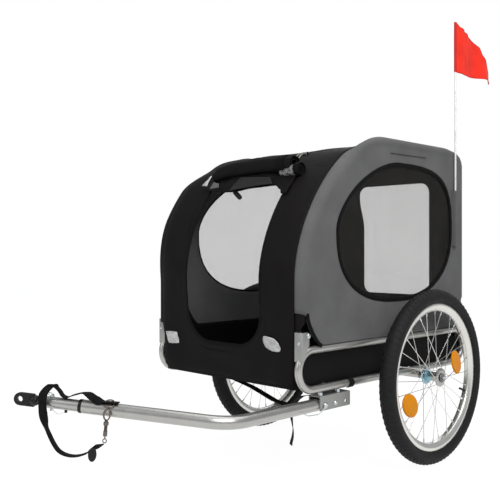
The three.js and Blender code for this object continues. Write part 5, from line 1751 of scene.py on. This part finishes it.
# Webbing along a route of places in millimetres, each with its own direction across
def webbing(name, route, width, thickness, material, *nodes):
    points = [Vector(place) for place, _ in route]
    directions = [Vector(across).normalized() for _, across in route]
    lengths = [0]
    for a, b in zip(points, points[1:]):
        lengths.append(lengths[-1] + (b - a).length)

    def curve(values, k, t):
        p = [values[min(max(k + d, 0), len(values) - 1)] for d in (-1, 0, 1, 2)]
        return 0.5 * (
            2 * p[1]
            + (p[2] - p[0]) * t
            + (2 * p[0] - 5 * p[1] + 4 * p[2] - p[3]) * t * t
            + (3 * p[1] - p[0] - 3 * p[2] + p[3]) * t ** 3
        )

    def place(u, w):
        run = u * lengths[-1]
        k = next((i for i in range(len(lengths) - 2) if run <= lengths[i + 1]), len(lengths) - 2)
        t = (run - lengths[k]) / (lengths[k + 1] - lengths[k])
        middle = curve(points, k, t)
        across = curve(directions, k, t).normalized()
        half = width / 2 * (2 * w - 1)
        return tuple(middle + across * half), run, half

    columns = max(12, round(lengths[-1] / 4))
    piece = gridSheet(name, columns, 6, place, material)
    thicken(piece, thickness, offset=0)
    mount(piece, "trailer", *nodes)
    return piece


# The safety strap's route: along the leg, to its side, above it, and how the webbing lies there
strapRoute = [
    (262, 2, 18.2, "flat"), (276, 3, 17.8, "flat"), (298.5, 5, 17.9, "flat"), (312, 9, 20, "lean"),
    (324, 6, 25, "lean"), (345, 2, 31.6, "flat"), (360, 0, 27.7, "flat"), (375, 0, 21.9, "flat"),
    (386, 0, 16.2, "flat"), (397, 0, 19, "flat"), (404.5, 0, 28, "flat"), (412.5, 2, 36.3, "flat"),
    (421, 7, 44.2, "turn"), (430, 15, 35.5, "face"), (436.5, 22, 22.2, "face"),
    (436.5, 24, 8.4, "face"), (434, 24, -12.6, "face"), (429.5, 24, -31.6, "turn"),
    (421.5, 24, -52, "flat"), (411.5, 24, -70.2, "flat"), (399.7, 24, -88.3, "flat"),
    (387.8, 23, -102.1, "flat"), (372.8, 22, -109.3, "flat"), (354.6, 21, -111.3, "flat"),
    (336.6, 21, -107.6, "flat"), (319, 21, -99.2, "flat"), (303.7, 21, -87.6, "turn"),
    (291.5, 21, -76.5, "turn"),
]
strapLies = {"flat": (0, 1, 0), "lean": (0, 2, -3), "turn": (1, 1, 0), "face": (1, 0, 0)}
underRoute = [
    (0, -1, 0), (0.151, -0.709, 0.254), (0.377, -0.317, 0.415), (0.548, 0.011, 0.576),
    (0.685, 0.228, 0.737), (0.788, 0.414, 0.927), (0.856, 0.522, 1), (0.897, 0.657, 1),
    (0.932, 0.78, 0.898), (0.966, 0.851, 0.488), (0.986, 0.918, 0.167), (1, 1, 0),
]
tailRoute = [(0, 0, 0), (0.5, -0.5, 14), (-1, 1, 32), (-2.5, 2.5, 50), (-1, 2, 68), (1.5, 0, 80), (2, -1, 88)]


def makeStraps():
    route = [(onLeg(a, b, c), onLegAxes(strapLies[lie])) for a, b, c, lie in strapRoute]
    webbing("safetyWebbing", route, 20, 2.2, blackWebbing, "safety_strap")
    route = [((330 + 146 * a, 268 * b, 251.7 - 34.2 * c), (1, -0.3, 0)) for a, b, c in underRoute]
    webbing("floorWebbing", route, 20, 1.8, blackWebbing, "underfloor_strap")
    route = [((472 + dx, 212 + dy, 205.6 - drop), (1, 0.2 + drop / 60, 0)) for dx, dy, drop in tailRoute]
    webbing("floorWebbingTail", route, 19, 1.8, blackWebbing, "strap_tail")
    profile = [(10.4, -9.5), (12.2, -9.5), (12.6, -8.5), (12.5, 0), (12.6, 8.5), (12.2, 9.5), (10.4, 9.5)]
    shape = spinProfile(profile, 40, closedRing=True, matrix=aim((1, 0, 0), at(307.6, 268, 263)))
    mount(finishMesh("railWebbingLoop", shape, blackWebbing), "trailer")


def makeHardware():
    refined("couplerLink", "hitch_coupler", blackPlastic, "coupler", 0.9, 32)
    refined("hitchPinRounded", "hitch_pin", zincPlate, "hitch_pin", 0.4, 40)
    refined("channelPressed", "hitch_channel", silverPlate, "trailer", 0.8, 32, 3)
    refined("channelBolt_front", "channel_bolt_front", zincPlate, "trailer", 0.5, 32)
    refined("channelBolt_rear", "channel_bolt_rear", zincPlate, "trailer", 0.5, 32)
    refined("pivotBolt", "drawbar_pivot_bolt", zincPlate, "trailer", 0.5, 32)
    refined("lockPinWire", "drawbar_lock_pin", zincPlate, "lock_pin", 0.3, 40)
    refined("drawbarRing", "strap_ring", warmSteel, "trailer", 0, 70)
    refined("snapHookBody", "snap_hook", warmSteel, "trailer", 0.25, 45)
    refined("snapHookSleeve", "snap_hook_bolt", warmSteel, "hook_bolt", 0.4, 40)
    refined("ovalTag", "strap_tag", blackPlastic, "trailer", 0.5, 35)
    refined("strapSlider", "strap_buckle", blackPlastic, "trailer", 1.6, 30, 3)


# Flag, pole and the sleeve that holds the pole

pole = {"x": -217, "y": 281.6, "bottom": 627.3, "top": 1328, "radius": 3}
flagCut = {
    "length": 222,
    "height": 156,
    "upper": [
        (0, 0), (0.665, 51), (0.729, 74), (0.823, 86), (0.887, 111), (0.936, 125), (0.955, 149), (1, 157),
    ],
    "lower": [(0, 156), (0.277, 158.5), (0.637, 154), (0.909, 150), (0.955, 153), (1, 160)],
}


def makePole():
    r = pole["radius"]
    profile = [(0, pole["bottom"]), (r - 0.4, pole["bottom"]), (r, pole["bottom"] + 0.8)]
    profile += [(r, pole["top"] - 1.6), (r - 0.6, pole["top"] - 0.5), (0, pole["top"])]
    shape = spinProfile(profile, 20, matrix=Matrix.Translation(at(pole["x"], pole["y"], 0)))
    mount(finishMesh("flagRod", shape, whiteRod), "flag", "flag_pole")


def alongLine(line, share):
    for a, b in zip(line, line[1:]):
        if share <= b[0]:
            return a[1] + (b[1] - a[1]) * (share - a[0]) / (b[0] - a[0])
    return line[-1][1]


def makeFlag():
    top = pole["top"] - 2

    def place(along, down):
        high = top - alongLine(flagCut["upper"], along)
        low = top - alongLine(flagCut["lower"], along)
        z = high + (low - high) * down
        deep = math.sin(math.tau * 1.6 * along) * 9 * along ** 0.5
        near = math.exp(-((along - 0.2) / 0.16) ** 2)
        pleats = 2.4 * math.sin(46 * along + 1.5 * down) * near * (1 - 0.6 * down)
        x = pole["x"] - 3.4 - flagCut["length"] * along
        y = pole["y"] + deep * (1 - 0.3 * (1 - down)) + pleats + wrinkle((x, z, 0), 40, 1.6, 51) * along
        return (x, y, z), flagCut["length"] * along, top - z

    piece = gridSheet("flagCloth", 72, 48, place, redFlag)
    thicken(piece, 0.7, offset=0)
    mount(piece, "flag", "flag")

    for down, name in ((0.012, "flagHem_top"), (0.988, "flagHem_low")):
        places = [at(*place(0.005 + 0.99 * k / 70, down)[0]) for k in range(71)]
        mount(tubeMesh(name, places, 1.1, redHem, sides=2), "flag")

    bottom = top - flagCut["height"]
    profile = [(3.3, bottom), (4.3, bottom + 0.4), (4.5, top - 60), (4.3, top - 0.5), (3.3, top)]
    shape = spinProfile(profile, 20, closedRing=True, matrix=Matrix.Translation(at(pole["x"], pole["y"], 0)))
    mount(finishMesh("flagPocket", shape, redHem), "flag")


# A flat pocket of side cloth with the pole inside it, sewn down both edges
def makeSleeve():
    low, high = 623.5, 798.5
    section = [(-9, -1.2), (-8.6, 0.4), (-5.8, 1.0), (-5.0, 5.2), (-2.6, 9.6), (0, 10.7)]
    section += [(-x, out) for x, out in reversed(section[:-1])]

    def place(u, w):
        position = u * (len(section) - 1)
        k = min(int(position), len(section) - 2)
        t = position - k
        dx = section[k][0] + (section[k + 1][0] - section[k][0]) * t
        out = section[k][1] + (section[k + 1][1] - section[k][1]) * t
        z = low + (high - low) * w
        mouth = 0.8 * smooth(w, 0.93, 1)
        return (pole["x"] + dx, 276.2 + out + mouth + wrinkle((dx, z, 0), 20, 0.5), z), dx, z

    piece = gridSheet("poleSleeve", 30, 44, place, greyCloth, flip=True)
    hangCloth(piece, 0.8, "flag_sleeve", offset=1)


cornerLine = [(484, 456), (483, 446), (480, 436), (472, 420), (460, 401), (446.5, 385)]
cornerLine += [(438, 377.5), (430, 373)]
turnedStrip = {"low": 128, "high": 700, "lap": 2, "width": 40, "out": 1.4}


# On the right the front's black cloth is turned further round the corner, in a narrow strip
def makeTurnedEdge(sizes):
    def place(u, w):
        run = sizes["low"] + (sizes["high"] - sizes["low"]) * w
        across = -(flatHalf - sizes["lap"] + sizes["width"] * u)
        return tuple(onSkin(run, across, -sizes["out"])), across, run

    piece = gridSheet("turnedEdge", 10, 60, place, blackCloth, flip=True)
    hangCloth(piece, 1.2)


# Black cloth behind each side panel's cut front corner, and the tape sewn along the cut
def makeCorners():
    for side, way in sides:
        def place(u, w):
            z = 398 + 58 * w
            wide = 17 + 24 * smooth(w, 0.1, 0.85)
            across = flatHalf - 3 + wide * u
            spot = onSkin(runAtHeight(z), way * across, 3.2)
            return tuple(spot), z, across

        piece = gridSheet(f"cornerCloth_{side}", 14, 16, place, blackCloth, flip=way < 0)
        hangCloth(piece, 1.6)
        route = []
        for k, (x, z) in enumerate(cornerLine):
            a, b = cornerLine[max(k - 1, 0)], cornerLine[min(k + 1, len(cornerLine) - 1)]
            along = Vector((b[0] - a[0], 0, b[1] - a[1])).normalized()
            out = Vector((-along.z, 0, along.x))
            middle = Vector((x, way * 277.4, z)) + out * 1.5
            route.append((tuple(middle), tuple(out)))
        tape = webbing(f"cornerTape_{side}", route, 9, 1.8, bindingTape)
        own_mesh(tape)


makeTurnedEdge(turnedStrip)
makeCorners()
makeStraps()
makeHardware()
makePole()
makeFlag()
makeSleeve()
makeDrawbar()
makeHitchTube()
print("drawbar made")


# Floor, backdrop and light

def makeStage():
    shape = bmesh.new()
    bmesh.ops.create_grid(shape, x_segments=2, y_segments=2, size=14)
    paint = Paint("paleFloor", Roughness=0.9)
    paint.shader.inputs["Base Color"].default_value = (0.6, 0.6, 0.6, 1)
    seen = paint.node("ShaderNodeLightPath", output="Is Camera Ray")
    glossy = paint.node("ShaderNodeLightPath", output="Is Glossy Ray")
    through = paint.node("ShaderNodeLightPath", output="Is Transmission Ray")
    glow = paint.node("ShaderNodeEmission", {}, {"Color": (1, 1, 1, 1), "Strength": 1.12})
    share = (seen + glossy + through).math("MINIMUM", 1) * 0.86
    mixed = paint.tree.nodes.new("ShaderNodeMixShader")
    paint.tree.links.new(share.socket, mixed.inputs[0])
    paint.tree.links.new(paint.shader.outputs[0], mixed.inputs[1])
    paint.tree.links.new(glow.socket, mixed.inputs[2])
    paint.tree.links.new(mixed.outputs[0], paint.tree.nodes["Material Output"].inputs["Surface"])
    floor = finishMesh("floor", shape, paint.material, smooth=False)


def makeLights():
    world = bpy.data.worlds.new("softRoom")
    bpy.context.scene.world = world
    world.use_nodes = True
    nodes, links = world.node_tree.nodes, world.node_tree.links
    nodes.clear()
    path = nodes.new("ShaderNodeLightPath")
    seen = nodes.new("ShaderNodeMath")
    seen.operation = "MAXIMUM"
    links.new(path.outputs["Is Camera Ray"], seen.inputs[0])
    links.new(path.outputs["Is Transmission Ray"], seen.inputs[1])
    lit = nodes.new("ShaderNodeBackground")
    lit.inputs["Color"].default_value = (0.93, 0.95, 1.0, 1)
    lit.inputs["Strength"].default_value = 0.4
    white = nodes.new("ShaderNodeBackground")
    white.inputs["Strength"].default_value = 1.0
    white.inputs["Color"].default_value = (1, 1, 1, 1)
    mix = nodes.new("ShaderNodeMixShader")
    links.new(seen.outputs[0], mix.inputs[0])
    links.new(lit.outputs[0], mix.inputs[1])
    links.new(white.outputs[0], mix.inputs[2])
    output = nodes.new("ShaderNodeOutputWorld")
    links.new(mix.outputs[0], output.inputs["Surface"])
    lamps = {
        "keyLight": ((1300, 2400, 2500), 2.0, 66),
        "frontLight": ((2900, -600, 1900), 2.0, 19),
        "topLight": ((-300, 300, 2900), 2.6, 30),
        "backLight": ((-2600, -900, 1900), 2.0, 22),
    }
    for name, (place, size, power) in lamps.items():
        data = bpy.data.lights.new(name, "AREA")
        data.size = size
        data.energy = power
        lamp = bpy.data.objects.new(name, data)
        lamp.location = at(*place)
        aimAt = at(150, 0, 500) - lamp.location
        lamp.rotation_euler = aimAt.to_track_quat("-Z", "Y").to_euler()
        bpy.context.scene.collection.objects.link(lamp)


makeStage()
makeLights()
bpy.context.scene.view_settings.view_transform = "Standard"
print("stage and lights made")
